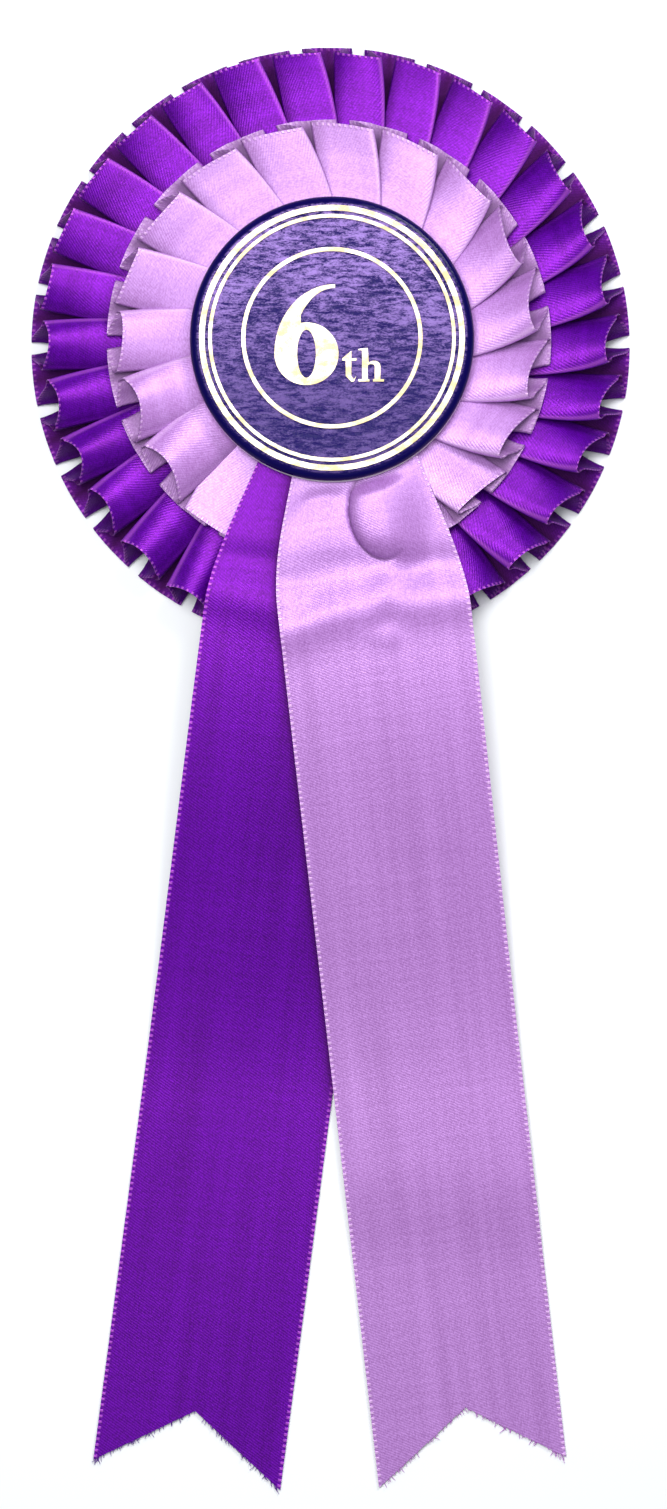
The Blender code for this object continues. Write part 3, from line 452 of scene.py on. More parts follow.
innerTier = {
    "name": "inner_pleats", "replaces": "inner_ribbon", "slot": "lilac_satin",
    "pleats": 19, "firstGap": 12.4, "ribbonWidth": 25.0, "ribbonPerPleat": 39.5, "sewnRadius": 19.0,
    "gauge": 0.26,
    "floorSewn": 9.3, "floorLevelTo": 30.0, "floorRim": 9.9, "lowEdgeSewn": 9.9, "highEdgeSewn": 10.4,
    "shutRim": (12.8, 14.4, 0.5), "leftRim": (12.2, 13.2, 1.9), "rightRim": (11.8, 15.0, 0.9),
    "recess": (2.7, 4.4), "recessCurve": 1.3, "riseCurve": 0.95, "offset": 0.6, "partedRim": 0.06,
    "slant": (8.5, 2.0), "notch": 1.2, "notchFrom": 15.0, "frontFold": (0.4, 0.8),
    "rolledFold": (0.42, 0.8), "pressedTop": 11.15, "unevenness": (3.4, 200.0, 110.0), "seed": 5,
}
acrossPlaces = np.array([0, 2, 4, 6.5, 9, 11.5, 14, 16, 18, 20, 21.5, 22.8, 23.8, 24.5, 25])
openSide = math.radians(160)  # the loops stand widest open round this angle, and are shut opposite it
slantSide = math.radians(60)  # the pleats slant least round this angle, and most opposite it
pressedFull, pressedNone = 31.0, 58.0  # degrees from straight down within which the tails press the loops
scatter = 0.28  # degrees that a pleat is off its place, as a standard deviation
handwork = {"low": 0.45, "high": 0.3, "swell": 0.25, "recess": 0.35, "slant": 0.7, "wave": 1.0}
sewnFold = 0.13  # radius of every fold at the sewn edge
frontWave = {"height": 0.10, "length": 3.1}  # a slight unevenness across each front panel

# Samples of one pleat's cross-section: half back, back fold, middle, rolled fold, front, front fold, middle,
# back fold, half back. Each section leaves its end to the next.
sectionSamples = (3, 5, 5, 6, 18, 5, 5, 5, 3)


def openness(angle):
    return ease(-0.80, 0.10, np.cos(angle - openSide))


def pressedShare(angle):
    away = np.abs(np.degrees(np.mod(angle, 2 * math.pi)) - 180)
    return 1 - ease(pressedFull, pressedNone, away)


def foldArc(share, middle, height, radius, way):  # half a turn from below to above, or back, bulging way
    angle = math.pi * share - math.pi / 2
    return middle + way * radius * np.cos(angle), height + radius * np.sin(angle)


def runBack(share, startX, startY, endX, endY):  # an S from one level to another
    return lerp(startX, endX, share), lerp(startY, endY, share * share * (3 - 2 * share))


# Painted shade on each part of a pleat, from 1 far in a fold to 0 in the open, and below 0 a painted
# highlight on a crease.
def insideShade(far):
    return lerp(0.95, 0.45, far ** 5)


def backShade(share, far):  # share runs from the gap between two pleats to the fold
    underGap = 1 - ease(0.15, 0.5, share)
    return lerp(lerp(0.9, 0.25, far ** 5), 1, underGap * (1 - 0.4 * ease(0.96, 1, far)))


def rollShade(share):
    return lerp(0.95, 0.5, ease(0.2, 0.9, share))


# Painted shade in the gap under the previous pleat's edge, and a painted highlight along the crease at the
# rim.
def frontShade(share, far):
    inGap = 0.5 * (1 - ease(0.0, 0.24, share)) * (1 - 0.3 * far)
    return inGap - 0.35 * ease(0.93, 1.0, share) * far


# A painted highlight where the crease fold starts, then painted shade under it.
def creaseShade(share):
    return lerp(-0.35, 0.95, ease(0.25, 0.7, share))


# The angle of each pleat's middle: evenly round the ring, with a sway on one side and a little scatter.
def pleatMiddles(tier, random):
    pleats = tier["pleats"]
    even = np.radians(tier["firstGap"] + 360 * (np.arange(pleats) + 0.5) / pleats)
    sway, swayFrom, swaySpan = tier["unevenness"]
    lag = np.clip((np.degrees(even) - swayFrom) / swaySpan, 0, 1)
    swayed = even + np.radians(sway * np.sin(math.pi * lag) * np.cos(0.6 * math.pi * lag))
    return swayed + np.radians(random.normal(0, scatter, pleats))


# The low edge, high edge and swell of each pleat at the rim, how far the tails squeeze them, and the top of
# the pleat there before they do.
def rimHeights(tier, middles, wide, press, jitter):
    rightward = ease(-0.4, 0.7, np.sin(middles))[:, None, None]
    rims = zip(tier["shutRim"], tier["leftRim"], tier["rightRim"])
    low, high, swell = [lerp(shut, lerp(left, right, rightward), wide) for shut, left, right in rims]
    low, high, swell = low + jitter["low"], high + jitter["high"], swell * (1 + jitter["swell"])
    floor = tier["floorRim"]
    top = high + swell * 0.6
    squeeze = np.minimum(1, lerp(1, (tier["pressedTop"] - floor) / (top - floor), press))
    low, high = floor + (low - floor) * squeeze, floor + (high - floor) * squeeze
    return low, high, swell * squeeze, squeeze, top


def frontHeight(share, at):  # from the low edge to the high one, with an arch of a half ellipse between
    tilt = lerp(share, 1 - (1 - share) ** 2.4, at["wide"])
    arch = at["swell"] * (1 - (2 * share - 1) ** 2) ** 0.8
    wave = np.sin(at["side"] / frontWave["length"] + 2 * math.pi * at["wave"]) * share * (1 - share) * 4
    return lerp(at["lowEdge"], at["highEdge"], tilt) + arch + frontWave["height"] * at["far"] * wave


# One pleat's cross-section, as (sideways from its middle, height, painted shade) for each of the nine
# sections.
def pleatSections(at):
    half, floor, far = at["half"], at["floor"], at["far"]
    backFold, rolledFold, frontFold = at["backFold"], at["rolledFold"], at["frontFold"]
    backTurn = at["notch"] * half + backFold
    leftTurn = -at["frontHalf"] * half + rolledFold
    rightTurn = at["frontHalf"] * half - frontFold
    low, high = at["lowEdge"], at["highEdge"]
    shares = [(np.arange(count) / count)[None, :, None] for count in sectionSamples]
    firstBack, firstTurn, firstMiddle, roll, front, crease, lastMiddle, lastTurn, lastBack = shares
    paintedShade = insideShade(far)
    return [
        (lerp(-half, -backTurn, firstBack), floor, backShade(firstBack, far)),
        (*foldArc(firstTurn, -backTurn, floor + backFold, backFold, 1), paintedShade),
        (*runBack(firstMiddle, -backTurn, floor + 2 * backFold, leftTurn, low - 2 * rolledFold), paintedShade),
        (*foldArc(roll, leftTurn, low - rolledFold, rolledFold, -1), rollShade(roll)),
        (lerp(leftTurn, rightTurn, front), frontHeight(front, at), frontShade(front, far)),
        (*foldArc(1 - crease, rightTurn, high - frontFold, frontFold, 1), creaseShade(crease)),
        (*runBack(lastMiddle, rightTurn, high - 2 * frontFold, backTurn, floor + 2 * backFold), paintedShade),
        (*foldArc(1 - lastTurn, backTurn, floor + backFold, backFold, -1), paintedShade),
        (lerp(backTurn, half, lastBack), floor, backShade(1 - lastBack, far)),
    ]


# The pleated ribbon as a function of (place along the ribbon, place across it): at each distance from the
# sewn edge the box pleat's cross-section is drawn in (sideways, height), then bent round the ring, and
# points that stand higher reach less far out, because the ribbon is as wide everywhere.
def pleatedRibbon(tier):
    random = np.random.default_rng(tier["seed"])
    pleats = tier["pleats"]
    width = tier["ribbonWidth"]
    across = acrossPlaces * width / acrossPlaces[-1]
    middles = pleatMiddles(tier, random)
    after = np.append(middles[1:], middles[0] + 2 * math.pi) - middles
    before = middles - np.insert(middles[:-1], 0, middles[-1] - 2 * math.pi)
    wide = openness(middles)[:, None, None]
    press = pressedShare(middles)[:, None, None]
    jitter = {key: random.normal(0, size, pleats)[:, None, None] for key, size in handwork.items()}
    side = across[None, None, :]
    far = side / width
    pitch = 2 * math.pi * (tier["sewnRadius"] + side) / pleats

    floorDrop = ease(tier["floorLevelTo"] - tier["sewnRadius"], width + 3, side)
    floor = tier["floorSewn"] + (tier["floorRim"] - tier["floorSewn"]) * floorDrop / floorDrop[..., -1:]
    lowRim, highRim, swellRim, squeeze, topRim = rimHeights(tier, middles, wide, press, jitter)
    rise = far ** tier["riseCurve"]
    parted = lerp(tier["partedRim"], 0.03, wide)
    sections = pleatSections({
        "half": pitch / 2, "floor": floor, "far": far, "side": side, "wide": wide, "wave": jitter["wave"],
        "lowEdge": lerp(tier["lowEdgeSewn"], lowRim, rise),
        "highEdge": lerp(tier["highEdgeSewn"], highRim, rise),
        "swell": swellRim * far * (1 - 0.15 * far),
        "frontHalf": (tier["ribbonPerPleat"] + pitch) / 4 / pitch - parted * far ** 1.6,  # in half pitches
        "notch": tier["notch"] * ease(tier["notchFrom"], width, side) / (pitch / 2) + 0.03,
        "backFold": lerp(sewnFold, 0.3, far),
        "frontFold": lerp(sewnFold, lerp(*tier["frontFold"], wide) * squeeze, far ** 1.5),
        "rolledFold": lerp(sewnFold, lerp(*tier["rolledFold"], wide) * squeeze, far ** 1.5),
    })
    full = [[np.broadcast_to(value, (pleats, count, len(across))) for value in section]
            for section, count in zip(sections, sectionSamples)]
    sideways, height, paintedShading = [np.concatenate(parts, axis=1) for parts in zip(*full)]

    spare = np.clip((height - floor) / (topRim - tier["floorRim"]), 0, 1.2)
    recess = (lerp(*tier["recess"], wide) + jitter["recess"]) * lerp(1, 0.55, press)
    radius = tier["sewnRadius"] + side - tier["offset"] * np.sin(middles)[:, None, None] * far
    reach = radius - recess * far ** 2 * spare ** tier["recessCurve"]
    slant = np.radians(lerp(*tier["slant"], ease(0.1, 0.9, (1 - np.cos(middles - slantSide)) / 2)))
    slant = slant[:, None, None] + np.radians(jitter["slant"]) * 0.6
    ownHalf = np.where(sideways > 0, after[:, None, None] / 2, before[:, None, None] / 2)
    turn = middles[:, None, None] + sideways / (pitch / 2) * ownHalf + slant * (1 - far)
    points = np.stack([reach * np.sin(turn), reach * np.cos(turn), height], axis=-1)
    points = points.reshape(-1, len(across), 3)

    steps = np.linalg.norm(np.diff(np.vstack([points[:, -1], points[:1, -1]]), axis=0), axis=1)
    along = np.concatenate([[0], np.cumsum(steps)])[:, None] + 0 * across
    acrossGrid = np.broadcast_to(across, along.shape)
    piece = clothShell(tier["name"], points, along, acrossGrid, tier["gauge"], loop=True, paintedShading=paintedShading)
    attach(piece, "rosette")
    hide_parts(tier["replaces"])
    print("pleats:", tier["name"], len(piece.data.vertices), "points")
    return piece


outerPleats = pleatedRibbon(outerTier)
outerPleats.data.materials.append(purpleRibbon)
innerPleats = pleatedRibbon(innerTier)
innerPleats.data.materials.append(lilacRibbon)


# The tails. Distances below are in millimetres, below the rosette's centre unless a comment says otherwise.
hingeBelow = (headY - jointPlace["tail_purple_lift"][1]) / mm
bendEnd = hingeBelow + 12
tailLook = {
    "width": 38.0, "gauge": 0.30, "crossing": (1.6, 5.6), "gathered": 19.0, "gatherFrom": 8.0,
    "fullAt": 53.0, "topEnd": 7.0, "low": 9.4, "high": 11.8, "floor": 0.3, "climb": (8.0, 15.5),
    "descent": (51.0, 150.0),
    "lilacStep": 1.0, "landing": (165.0, 186.0), "clear": 0.62, "levelRowsTo": 140, "shapedFrom": 150,
}
purpleCut = {"splay": math.radians(-7.55), "leftTip": 233.4, "rightTip": 234.6, "apex": 221.0}
lilacCut = {"splay": math.radians(6.56), "leftTip": 233.8, "rightTip": 232.0, "apex": 219.8}

# Each fold is a bell, as (height, middle, width). A crest is where a tail comes over the outer pleats: a
# bell along it, with a dip above, at a distance below the centre that skews and bends across the ribbon.
purpleFolds = {
    "crestAt": 53.0, "crestSkew": 0.24, "dip": (0.5, -8, 4.5), "crest": (0.7, 0.5, 4.4),
    "ripple": 0.10, "rippleFrom": (100, 120), "rippleLength": (15.0, 9.0),
}
lilacFolds = {
    "crestAt": 51.5, "crestSkew": 0.10, "crestLag": (3.0, -19, 9), "crestLead": (1.6, 3, 3),
    "dip": (0.6, -7, 4.5), "crest": (0.95, 1.2, 4.2),
    "ripple": 0.16, "rippleFrom": (90, 120), "rippleLength": (19.0, 7.0), "ripplePhase": 1.2,
    "curledEdge": (0.17, 19, 2.2), "curlFrom": (60, 90), "curlTo": (150, 175),
    "valleyFrom": (1.8, -29.5), "valleyWay": (0.54, 0.84), "valley": (0.8, 0, 2.7), "valleyRun": (1, 5, 6),
    "dimpleX": (0.5, 14, 4.5), "dimpleY": (1, -45, 3), "freeFrom": (28.0, 32.0),
}
dipFrom = (38, 44)

# The tuck in the lilac tail just below the button: a round puff whose left and lower side drops steeply into
# a crease, height growing from the crease as the quarter of an ellipse. Turns are in degrees from +X.
tuck = {
    "centre": (9.3, -34.6), "halfWidth": 5.8, "halfLength": 8.6, "lean": 0.12, "puff": 1.9, "crease": 0.55,
    "steepFrom": (95, 140), "steepTo": (245, 320), "shadeTo": (255, 330), "clearOfButton": (28.4, 31.5),
}


def bell(value, shape):
    height, middle, width = shape
    return height * hump(value, middle, width)


def besideMiddle(x, y, splay):  # how far to the right of a tail's centre line, measured level
    crossX, crossY = tailLook["crossing"]
    return x - crossX - (crossY - y) * math.tan(splay)


def lyingLevel(below):  # up from the button's edge onto the pleats, then down to the table
    look = tailLook
    level = look["low"] + (look["high"] - look["low"]) * ease(*look["climb"], below)
    return level + (look["floor"] - look["high"]) * ease(*look["descent"], below)


def purpleHeight(x, y):
    below = -y
    folds = purpleFolds
    side = besideMiddle(x, y, purpleCut["splay"])
    crest = below - (folds["crestAt"] + folds["crestSkew"] * side)
    level = lyingLevel(below) - bell(crest, folds["dip"]) * ease(*dipFrom, below)
    level = level + bell(crest, folds["crest"])
    alongRipple, acrossRipple = folds["rippleLength"]
    ripple = 1 + np.sin(below / alongRipple + side / acrossRipple)
    return level + folds["ripple"] * ease(*folds["rippleFrom"], below) * ripple


def fromTuck(x, y):  # distance from the tuck's middle, 1 on its edge, and the turn round it
    apartX, apartY = x - tuck["centre"][0], y - tuck["centre"][1]
    apartX = (apartX + tuck["lean"] * apartY) / tuck["halfWidth"]
    apartY = apartY / tuck["halfLength"]
    return np.hypot(apartX, apartY), np.degrees(np.arctan2(apartY, apartX)) % 360


def tuckHeight(x, y):
    apart, turn = fromTuck(x, y)
    strength = ease(*tuck["steepFrom"], turn) * (1 - ease(*tuck["steepTo"], turn))
    steep = np.sqrt(np.clip(1 - apart ** 2.4, 0, 1))
    gentle = 1 - ease(0.2, 1.9, apart)
    outside = ease(*tuck["clearOfButton"], np.hypot(x, y))
    crease = tuck["crease"] * strength * hump(apart, 1.02, 0.05)
    return outside * (tuck["puff"] * lerp(gentle, steep, strength) - crease)


def tuckShade(x, y):  # painted shade in the crease and on the steep side of the puff
    apart, turn = fromTuck(x, y)
    strength = ease(*tuck["steepFrom"], turn) * (1 - ease(*tuck["shadeTo"], turn))
    return strength * (bell(apart, (0.8, 1.0, 0.045)) + bell(apart, (0.22, 0.84, 0.14)))


def valleyHeight(x, y):  # the soft valley that runs down from the tuck to the left, and a dimple below it
    folds = lilacFolds
    apartX, apartY = x - folds["valleyFrom"][0], y - folds["valleyFrom"][1]
    wayX, wayY = folds["valleyWay"]
    valley = bell(apartX * wayX - apartY * wayY, folds["valley"])
    valley = valley * bell(-apartX * wayY - apartY * wayX, folds["valleyRun"]) * ease(*folds["freeFrom"], -y)
    return -valley - bell(x, folds["dimpleX"]) * bell(y, folds["dimpleY"])


def lilacHeight(x, y):
    below = -y
    folds = lilacFolds
    side = besideMiddle(x, y, lilacCut["splay"])
    level = lyingLevel(below) + tailLook["lilacStep"] * (1 - ease(*tailLook["landing"], below))
    level = level + tuckHeight(x, y) + valleyHeight(x, y)
    bend = bell(side, folds["crestLag"]) - bell(side, folds["crestLead"])
    crest = below - (folds["crestAt"] - folds["crestSkew"] * side + bend)
    level = level - bell(crest, folds["dip"]) * ease(*dipFrom, below) + bell(crest, folds["crest"])
    alongRipple, acrossRipple = folds["rippleLength"]
    ripple = 1 + np.sin(below / alongRipple - side / acrossRipple + folds["ripplePhase"])
    level = level + folds["ripple"] * ease(*folds["rippleFrom"], below) * ripple
    curl = bell(np.abs(side), folds["curledEdge"]) * ease(*folds["curlFrom"], below)
    level = level + curl * (1 - ease(*folds["curlTo"], below))
    pastPurple = ease(18.0, 34.0, np.abs(besideMiddle(x, y, purpleCut["splay"])))
    lying = purpleHeight(x, y) + tailLook["clear"] - 4 * pastPurple
    return (level + lying + np.sqrt((level - lying) ** 2 + 0.02)) / 2  # a soft maximum of the two


def besideLilac(x, y):  # the purple tail is in the lilac one's shade for a millimetre or so beside its edge
    splay = lilacCut["splay"]
    apart = -besideMiddle(x, y, splay) * math.cos(splay) - tailWidth(-y) / 2
    return 0.75 * np.exp(-np.clip(apart, 0, 20) / 1.1) * (1 - ease(150, 190, -y))


def tailWidth(below):
    look = tailLook
    opened = ease(look["gatherFrom"], look["fullAt"], below)
    return look["gathered"] + (look["width"] - look["gathered"]) * opened


# A tail is a function of (distance along the ribbon, place across it): a straight centre line that leans by
# the splay, a width that opens from the gathered top, and a height that follows what it lies on. Its upper
# rows run level with the hinge line, and the last ones turn into the dovetail.
def tailGrid(cut, heightOf, rowsAt, columns):
    splay = cut["splay"]
    crossX, crossY = tailLook["crossing"]
    share = np.linspace(-1, 1, columns)[None, :]
    tips = np.where(share < 0, cut["leftTip"], cut["rightTip"])
    end = cut["apex"] + (tips - cut["apex"]) * np.abs(share)
    straight = (rowsAt[:, None] + crossY) / math.cos(splay)
    toEnd = ease(tailLook["shapedFrom"], rowsAt[-1], rowsAt)[:, None]
    distance = straight + (end - straight[-1]) * toEnd
    distance[-1] = end
    offset = share * tailWidth(distance * math.cos(splay) - crossY) / 2
    levelling = np.where((rowsAt < tailLook["levelRowsTo"])[:, None], 1, 1 - toEnd)
    distance = distance + offset * math.tan(splay) * levelling
    x = crossX + distance * math.sin(splay) + offset * math.cos(splay)
    y = crossY - distance * math.cos(splay) + offset * math.sin(splay)
    points = np.stack([x, y, heightOf(x, y)], axis=-1)
    across = (share + 1) / 2 * tailLook["width"] + 0 * distance
    return points, distance, across


def rowPlaces(*stretches):  # distances below the centre, as (start, end, step) stretches
    rows = [np.linspace(start, stop, max(2, round((stop - start) / step)), endpoint=False)
            for start, stop, step in stretches]
    return np.append(np.concatenate(rows), stretches[-1][1])


# standsFor names the CAD nodes.
def finishTail(piece, material, standsFor):
    piece.data.materials.append(material)
    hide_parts(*standsFor)
    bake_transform(piece)


frayLook = {
    "threads": 96, "radius": 0.085, "taper": 0.4, "sides": 5, "length": (0.25, 1.05), "tipLength": 1.2,
    "root": 0.5, "lean": 0.4, "curl": 0.3, "steps": 7, "lift": 0.12, "lowest": 0.12,
}


# Threads that have worked loose from a tail's cut end. Each is a tube along an arc that starts in the cloth,
# runs on the way the ribbon runs, and leans and curls a little; they are longest at the two tips.
def loosenedThreads(name, points, material, body, seed):
    look = frayLook
    random = np.random.default_rng(seed)
    count, columns = look["threads"], points.shape[1]
    place = np.sort(random.uniform(0.6, columns - 1.6, count))
    column = place.astype(int)
    share = (place - column)[:, None]
    edge = lerp(points[-1, column], points[-1, column + 1], share)
    ahead = edge - lerp(points[-3, column], points[-3, column + 1], share)
    ahead[:, 2] = 0
    ahead /= np.linalg.norm(ahead, axis=1, keepdims=True)
    aside = np.stack([-ahead[:, 1], ahead[:, 0], 0 * place], axis=1)
    nearTip = np.abs(2 * place / (columns - 1) - 1) ** 6
    length = random.uniform(*look["length"], count) ** 1.3
    length = (length + look["tipLength"] * nearTip * random.random(count))[:, None, None]
    lean = random.normal(0, look["lean"], count)[:, None, None]
    curl = random.normal(0, look["curl"], count)[:, None, None]
    along = np.linspace(0, 1, look["steps"])[None, :, None]
    run = (length + look["root"]) * along - look["root"]
    sway = run * lean + curl * length * along ** 2
    paths = edge[:, None] + ahead[:, None] * run + aside[:, None] * sway * ease(0.2, 0.9, along)
    paths[..., 2] += look["lift"] * random.normal(0, 1, count)[:, None] * along[..., 0] ** 2
    paths[..., 2] = np.maximum(paths[..., 2], look["lowest"])
    piece = tubes(name, paths, look["radius"] * (1 - look["taper"] * along[..., 0]), look["sides"])
    piece.data.materials.append(material)
    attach(piece, body)
    return piece


purpleRows = rowPlaces((-tailLook["topEnd"], 26, 1.1), (26, 62, 0.6), (62, 225, 1.5))
points, along, across = tailGrid(purpleCut, purpleHeight, purpleRows, 61)
purpleFray = loosenedThreads("purple_fray", points, purpleThread, "tail_purple", 21)
purplePiece = clothShell("purple_tail", points, along, across, tailLook["gauge"],
                         paintedShading=besideLilac(points[..., 0], points[..., 1]))
finishTail(purplePiece, purpleTail, ("tail_purple", "tail_purple_root"))

# The lilac tail is one ribbon in two pieces, because it crosses two joints; they split at the row nearest
# the end of the bend, 12 mm below the hinge.
lilacRows = rowPlaces((-tailLook["topEnd"], 24, 1.1), (24, bendEnd, 0.42), (bendEnd, 62, 0.6),
                      (62, 225, 1.5))
points, along, across = tailGrid(lilacCut, lilacHeight, lilacRows, 97)
normals = unitNormals(points, False)
shaded = tuckShade(points[..., 0], points[..., 1])
split = int(np.argmin(np.abs(lilacRows - bendEnd)))
topPart, tailPart = slice(0, split + 1), slice(split, None)
lilacTop = clothShell("lilac_tail_top", points[topPart], along[topPart], across[topPart], tailLook["gauge"],
                      normals=normals[topPart], paintedShading=shaded[topPart])
finishTail(lilacTop, lilacTail, ("tail_lilac_root",))
lilacFray = loosenedThreads("lilac_fray", points, lilacThread, "tail_lilac", 22)
lilacPiece = clothShell("lilac_tail", points[tailPart], along[tailPart], across[tailPart], tailLook["gauge"],
                        normals=normals[tailPart], paintedShading=shaded[tailPart])
finishTail(lilacPiece, lilacTail, ("tail_lilac",))
print("tails: made")


buttonLook = {"radius": 28.0, "top": 16.66, "edgeTop": 16.45, "shoulder": 1.5, "bottom": 14.7}
boardLook = {"radius": 27.85, "top": 14.68, "bottom": 13.42, "shift": (0.05, -0.3)}


# The face: a low dome, height falling with the square of the radius, then a quarter-round shoulder.
def buttonFace():
    look = buttonLook
    flatEnd = look["radius"] - look["shoulder"]
    radii = np.linspace(0, flatEnd, 40)
    dome = [(r, lerp(look["top"], look["edgeTop"], (r / flatEnd) ** 2)) for r in radii]
    turn = np.linspace(0, math.pi / 2, 12)[1:]
    shoulder = [(flatEnd + look["shoulder"] * math.sin(a),
                 look["edgeTop"] - look["shoulder"] * (1 - math.cos(a))) for a in turn]
    profile = dome + shoulder + [(look["radius"], look["bottom"]), (0, look["bottom"])]
    piece = turnedPiece("button_face", profile, 240)
    piece.data.materials.append(cardMaterial)
    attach(piece, "rosette")
    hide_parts("centre_face")


buttonFace()


# The board under it shows as a thin white edge, furthest out at the lower side.
def buttonBoard():
    radius, top, bottom = boardLook["radius"], boardLook["top"], boardLook["bottom"]
    profile = [(0, top), (radius - 0.25, top), (radius - 0.05, top - 0.18),
               (radius, bottom + 0.18), (radius - 0.15, bottom), (0, bottom)]
    piece = turnedPiece("button_board", profile, 240, shift=boardLook["shift"], smoothBelow=30)
    piece.data.materials.append(boardMaterial)
    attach(piece, "rosette")
    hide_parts("centre_board")


buttonBoard()
print("button: made")


# Running stitches through a pleated tier: each is a tube along an arch, its height a half sine over its
# length, with both ends drawn into the cloth.
def runningStitches(look):
    turn = 2 * math.pi * (np.arange(look["stitches"])[:, None] + 0.5) / look["stitches"]
    share = np.linspace(0, 1, look["steps"])[None, :]
    angle = turn + (share - 0.5) * look["length"] / look["radius"]
    height = look["low"] + (look["high"] - look["low"]) * np.sin(math.pi * share) ** 0.6 + 0 * turn
    reach = look["radius"] + 0.1 * np.sin(7 * turn) * np.sin(math.pi * share)
    paths = np.stack([reach * np.sin(angle), reach * np.cos(angle), height], axis=-1)
    piece = tubes(look["name"], paths, look["thread"], 6)
    piece.data.materials.append(threadMaterial)
    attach(piece, "rosette")
    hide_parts(look["replaces"])


stitchLooks = [
    {"name": "outer_stitches", "replaces": "outer_stitching", "stitches": 70, "radius": 37.5, "length": 2.8,
     "thread": 0.17, "low": 7.25, "high": 7.68, "steps": 9},
    {"name": "inner_stitches", "replaces": "inner_stitching", "stitches": 42, "radius": 22.0, "length": 2.8,
     "thread": 0.17, "low": 10.5, "high": 10.98, "steps": 9},
]
for stitchLook in stitchLooks:
    runningStitches(stitchLook)


# The foam pad under the button's board: a disc whose side falls back with the square of the height from
# its middle.
def foamPad():
    low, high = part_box("centre_pad")
    bottom, top = low.z / mm, high.z / mm
    radius = (high.x - low.x) / 2 / mm
    rounding, bulge = 0.15, 0.35
    side = [(radius - bulge * share ** 2, lerp(bottom + rounding, top - rounding, (share + 1) / 2))
            for share in np.linspace(1, -1, 13)]
    flatEnd = radius - bulge - rounding
    profile = [(0, top), (flatEnd, top)] + side + [(flatEnd, bottom), (0, bottom)]
    piece = turnedPiece("foam_pad", profile, 160)
    piece.data.materials.append(foamMaterial)
    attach(piece, "rosette")
    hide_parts("centre_pad")


foamPad()


# The tape that holds the pin: one profile carried across its width. It is glued to the backing card, comes
# down under the pin's spine, and runs back up to the card past it, its bends rounded by corner cutting.
def pinTape():
    low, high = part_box("pin_patch")
    gauge, glued, level = 0.36, 5.0, 0.2
    ceiling, start, wall = high.z / mm, (low.y - headY) / mm, (high.y - headY) / mm - level
    fold = wall - 3.0
    slope = start + glued
    line = np.array([(start, ceiling - level), (slope, ceiling - level), (fold, level), (wall, level),
                     (wall, ceiling - 0.02)])
    for _ in range(3):
        near, beyond = lerp(line[:-1], line[1:], 0.12), lerp(line[:-1], line[1:], 0.88)
        line = np.vstack([line[:1], np.stack([near, beyond], axis=1).reshape(-1, 2)[1:-1], line[-1:]])
    half = (high.x - low.x) / 2 / mm
    across = np.linspace(0, 2 * half, 29)
    steps = np.linalg.norm(np.diff(line, axis=0), axis=1)
    along = np.concatenate([[0], np.cumsum(steps)])[:, None] + 0 * across
    x = half - across + 0 * along
    points = np.stack([x, line[:, :1] + 0 * x, line[:, 1:] + 0 * x], axis=-1)
    piece = clothShell("pin_tape", points, along, across + 0 * along, gauge)
    piece.data.materials.append(tapeMaterial)
    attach(piece, "rosette")
    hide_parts("pin_patch")


pinTape()
print("stitches, pad and tape: made")


finishes = {
    "foil_ring_outer": foilMaterial, "foil_ring_middle": foilMaterial, "foil_ring_inner": foilMaterial,
    "foil_numeral": foilMaterial, "foil_letter_t": foilMaterial, "foil_letter_h": foilMaterial,
    "backing_card": boardMaterial, "outer_card": boardMaterial, "inner_card": boardMaterial,
    "tail_staple_upper": stapleMaterial, "tail_staple_lower": stapleMaterial,
    "pin_spine": pinMaterial, "pin_arm": pinMaterial, "pin_cap": pinMaterial,
}
for node, material in finishes.items():
    for slot in frame["nodes"][node].material_slots:
        slot.material = material
print("nodes: finished", len(finishes))


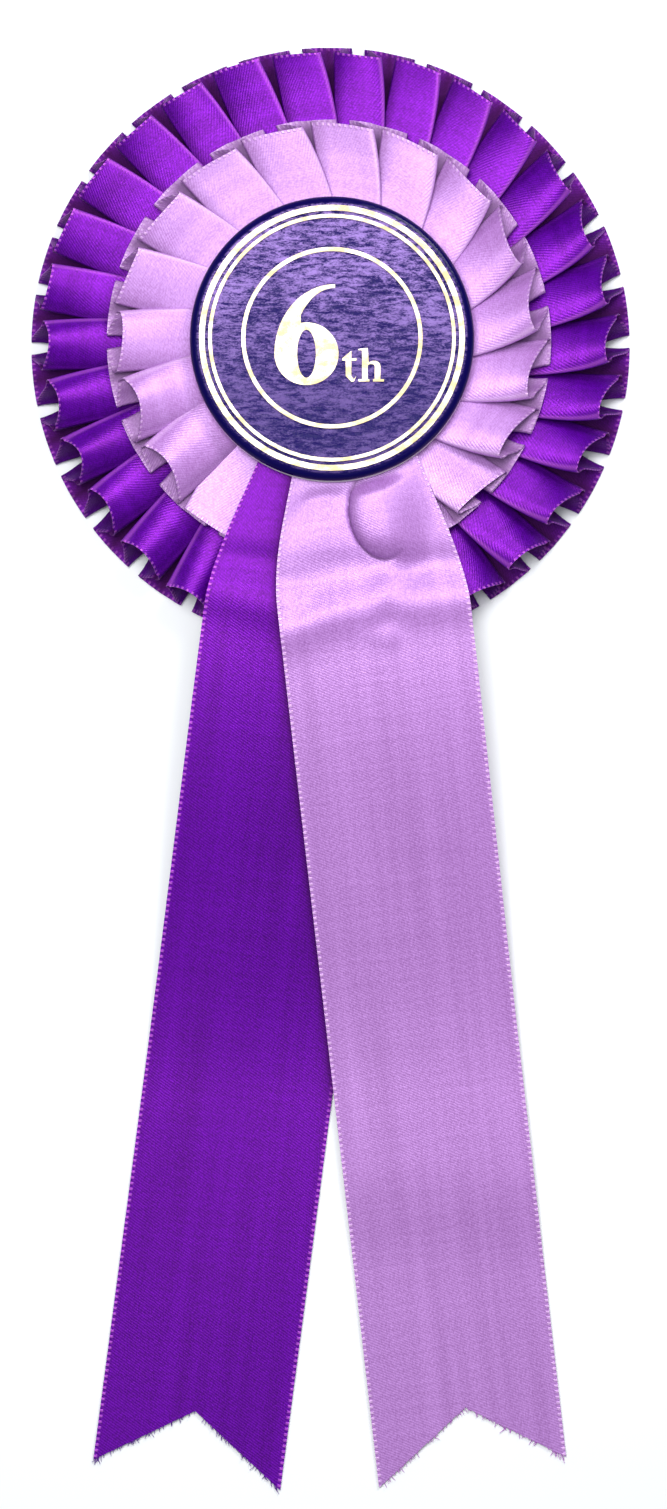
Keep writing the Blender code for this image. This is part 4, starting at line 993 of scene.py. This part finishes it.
def tableTop():
    mesh = bpy.data.meshes.new("table_top")
    reach = 3.0
    level = -0.1 * mm
    corners = [(x * reach, y * reach, level) for x, y in ((-1, -1), (1, -1), (1, 1), (-1, 1))]
    mesh.from_pydata(corners, [], [(0, 1, 2, 3)])
    piece = bpy.data.objects.new("table_top", mesh)
    bpy.context.scene.collection.objects.link(piece)
    material, tree, shader = newMaterial("pale_table")
    setShader(shader, {"Base Color": (0.93, 0.955, 0.97, 1), "Roughness": 0.7, "Specular IOR Level": 0.2})
    mesh.materials.append(material)


def areaLight(name, place, aim, size, power, colour=(1, 1, 1)):
    light = bpy.data.lights.new(name, "AREA")
    light.shape = "DISK"
    light.size = size
    light.energy = power
    light.color = colour
    lamp = bpy.data.objects.new(name, light)
    bpy.context.scene.collection.objects.link(lamp)
    lamp.location = place
    lamp.rotation_euler = (Vector(aim) - Vector(place)).to_track_quat("-Z", "Y").to_euler()


tableTop()
lights = {
    "window_light": {"place": (-0.09, headY + 0.06, 0.52), "size": 0.30, "power": 2.25, "colour": (1, 1, 1)},
    "side_light": {"place": (0.24, headY + 0.34, 0.46), "size": 0.25, "power": 1.9, "colour": (1, 1, 1)},
    "ceiling_light": {"place": (0.10, headY - 0.10, 1.3), "size": 1.0, "power": 2.9,
                      "colour": (0.96, 0.98, 1)},
}
for name, lamp in lights.items():
    areaLight(name, lamp["place"], (0, 0, 0), lamp["size"], lamp["power"], lamp["colour"])
world = bpy.data.worlds.new("room")
bpy.context.scene.world = world
world.use_nodes = True
world.node_tree.nodes["Background"].inputs[0].default_value = (0.95, 0.97, 1.0, 1)
world.node_tree.nodes["Background"].inputs[1].default_value = 0.25

cameraLook = {"height": 0.75, "right": 0.3, "below": 81.8, "frameWidth": 133.9, "shape": 1509 / 667}
cameraData = bpy.data.cameras.new("camera")
cameraData.sensor_fit = "AUTO"
cameraData.sensor_width = 36
cameraData.lens = 36 * cameraLook["height"] / (cameraLook["frameWidth"] * mm * cameraLook["shape"])
camera = bpy.data.objects.new("camera", cameraData)
bpy.context.scene.collection.objects.link(camera)
camera.location = (headX + cameraLook["right"] * mm, headY - cameraLook["below"] * mm, cameraLook["height"])
bpy.context.scene.camera = camera
bpy.context.scene.view_settings.view_transform = "Standard"
print("camera, light and table: set")
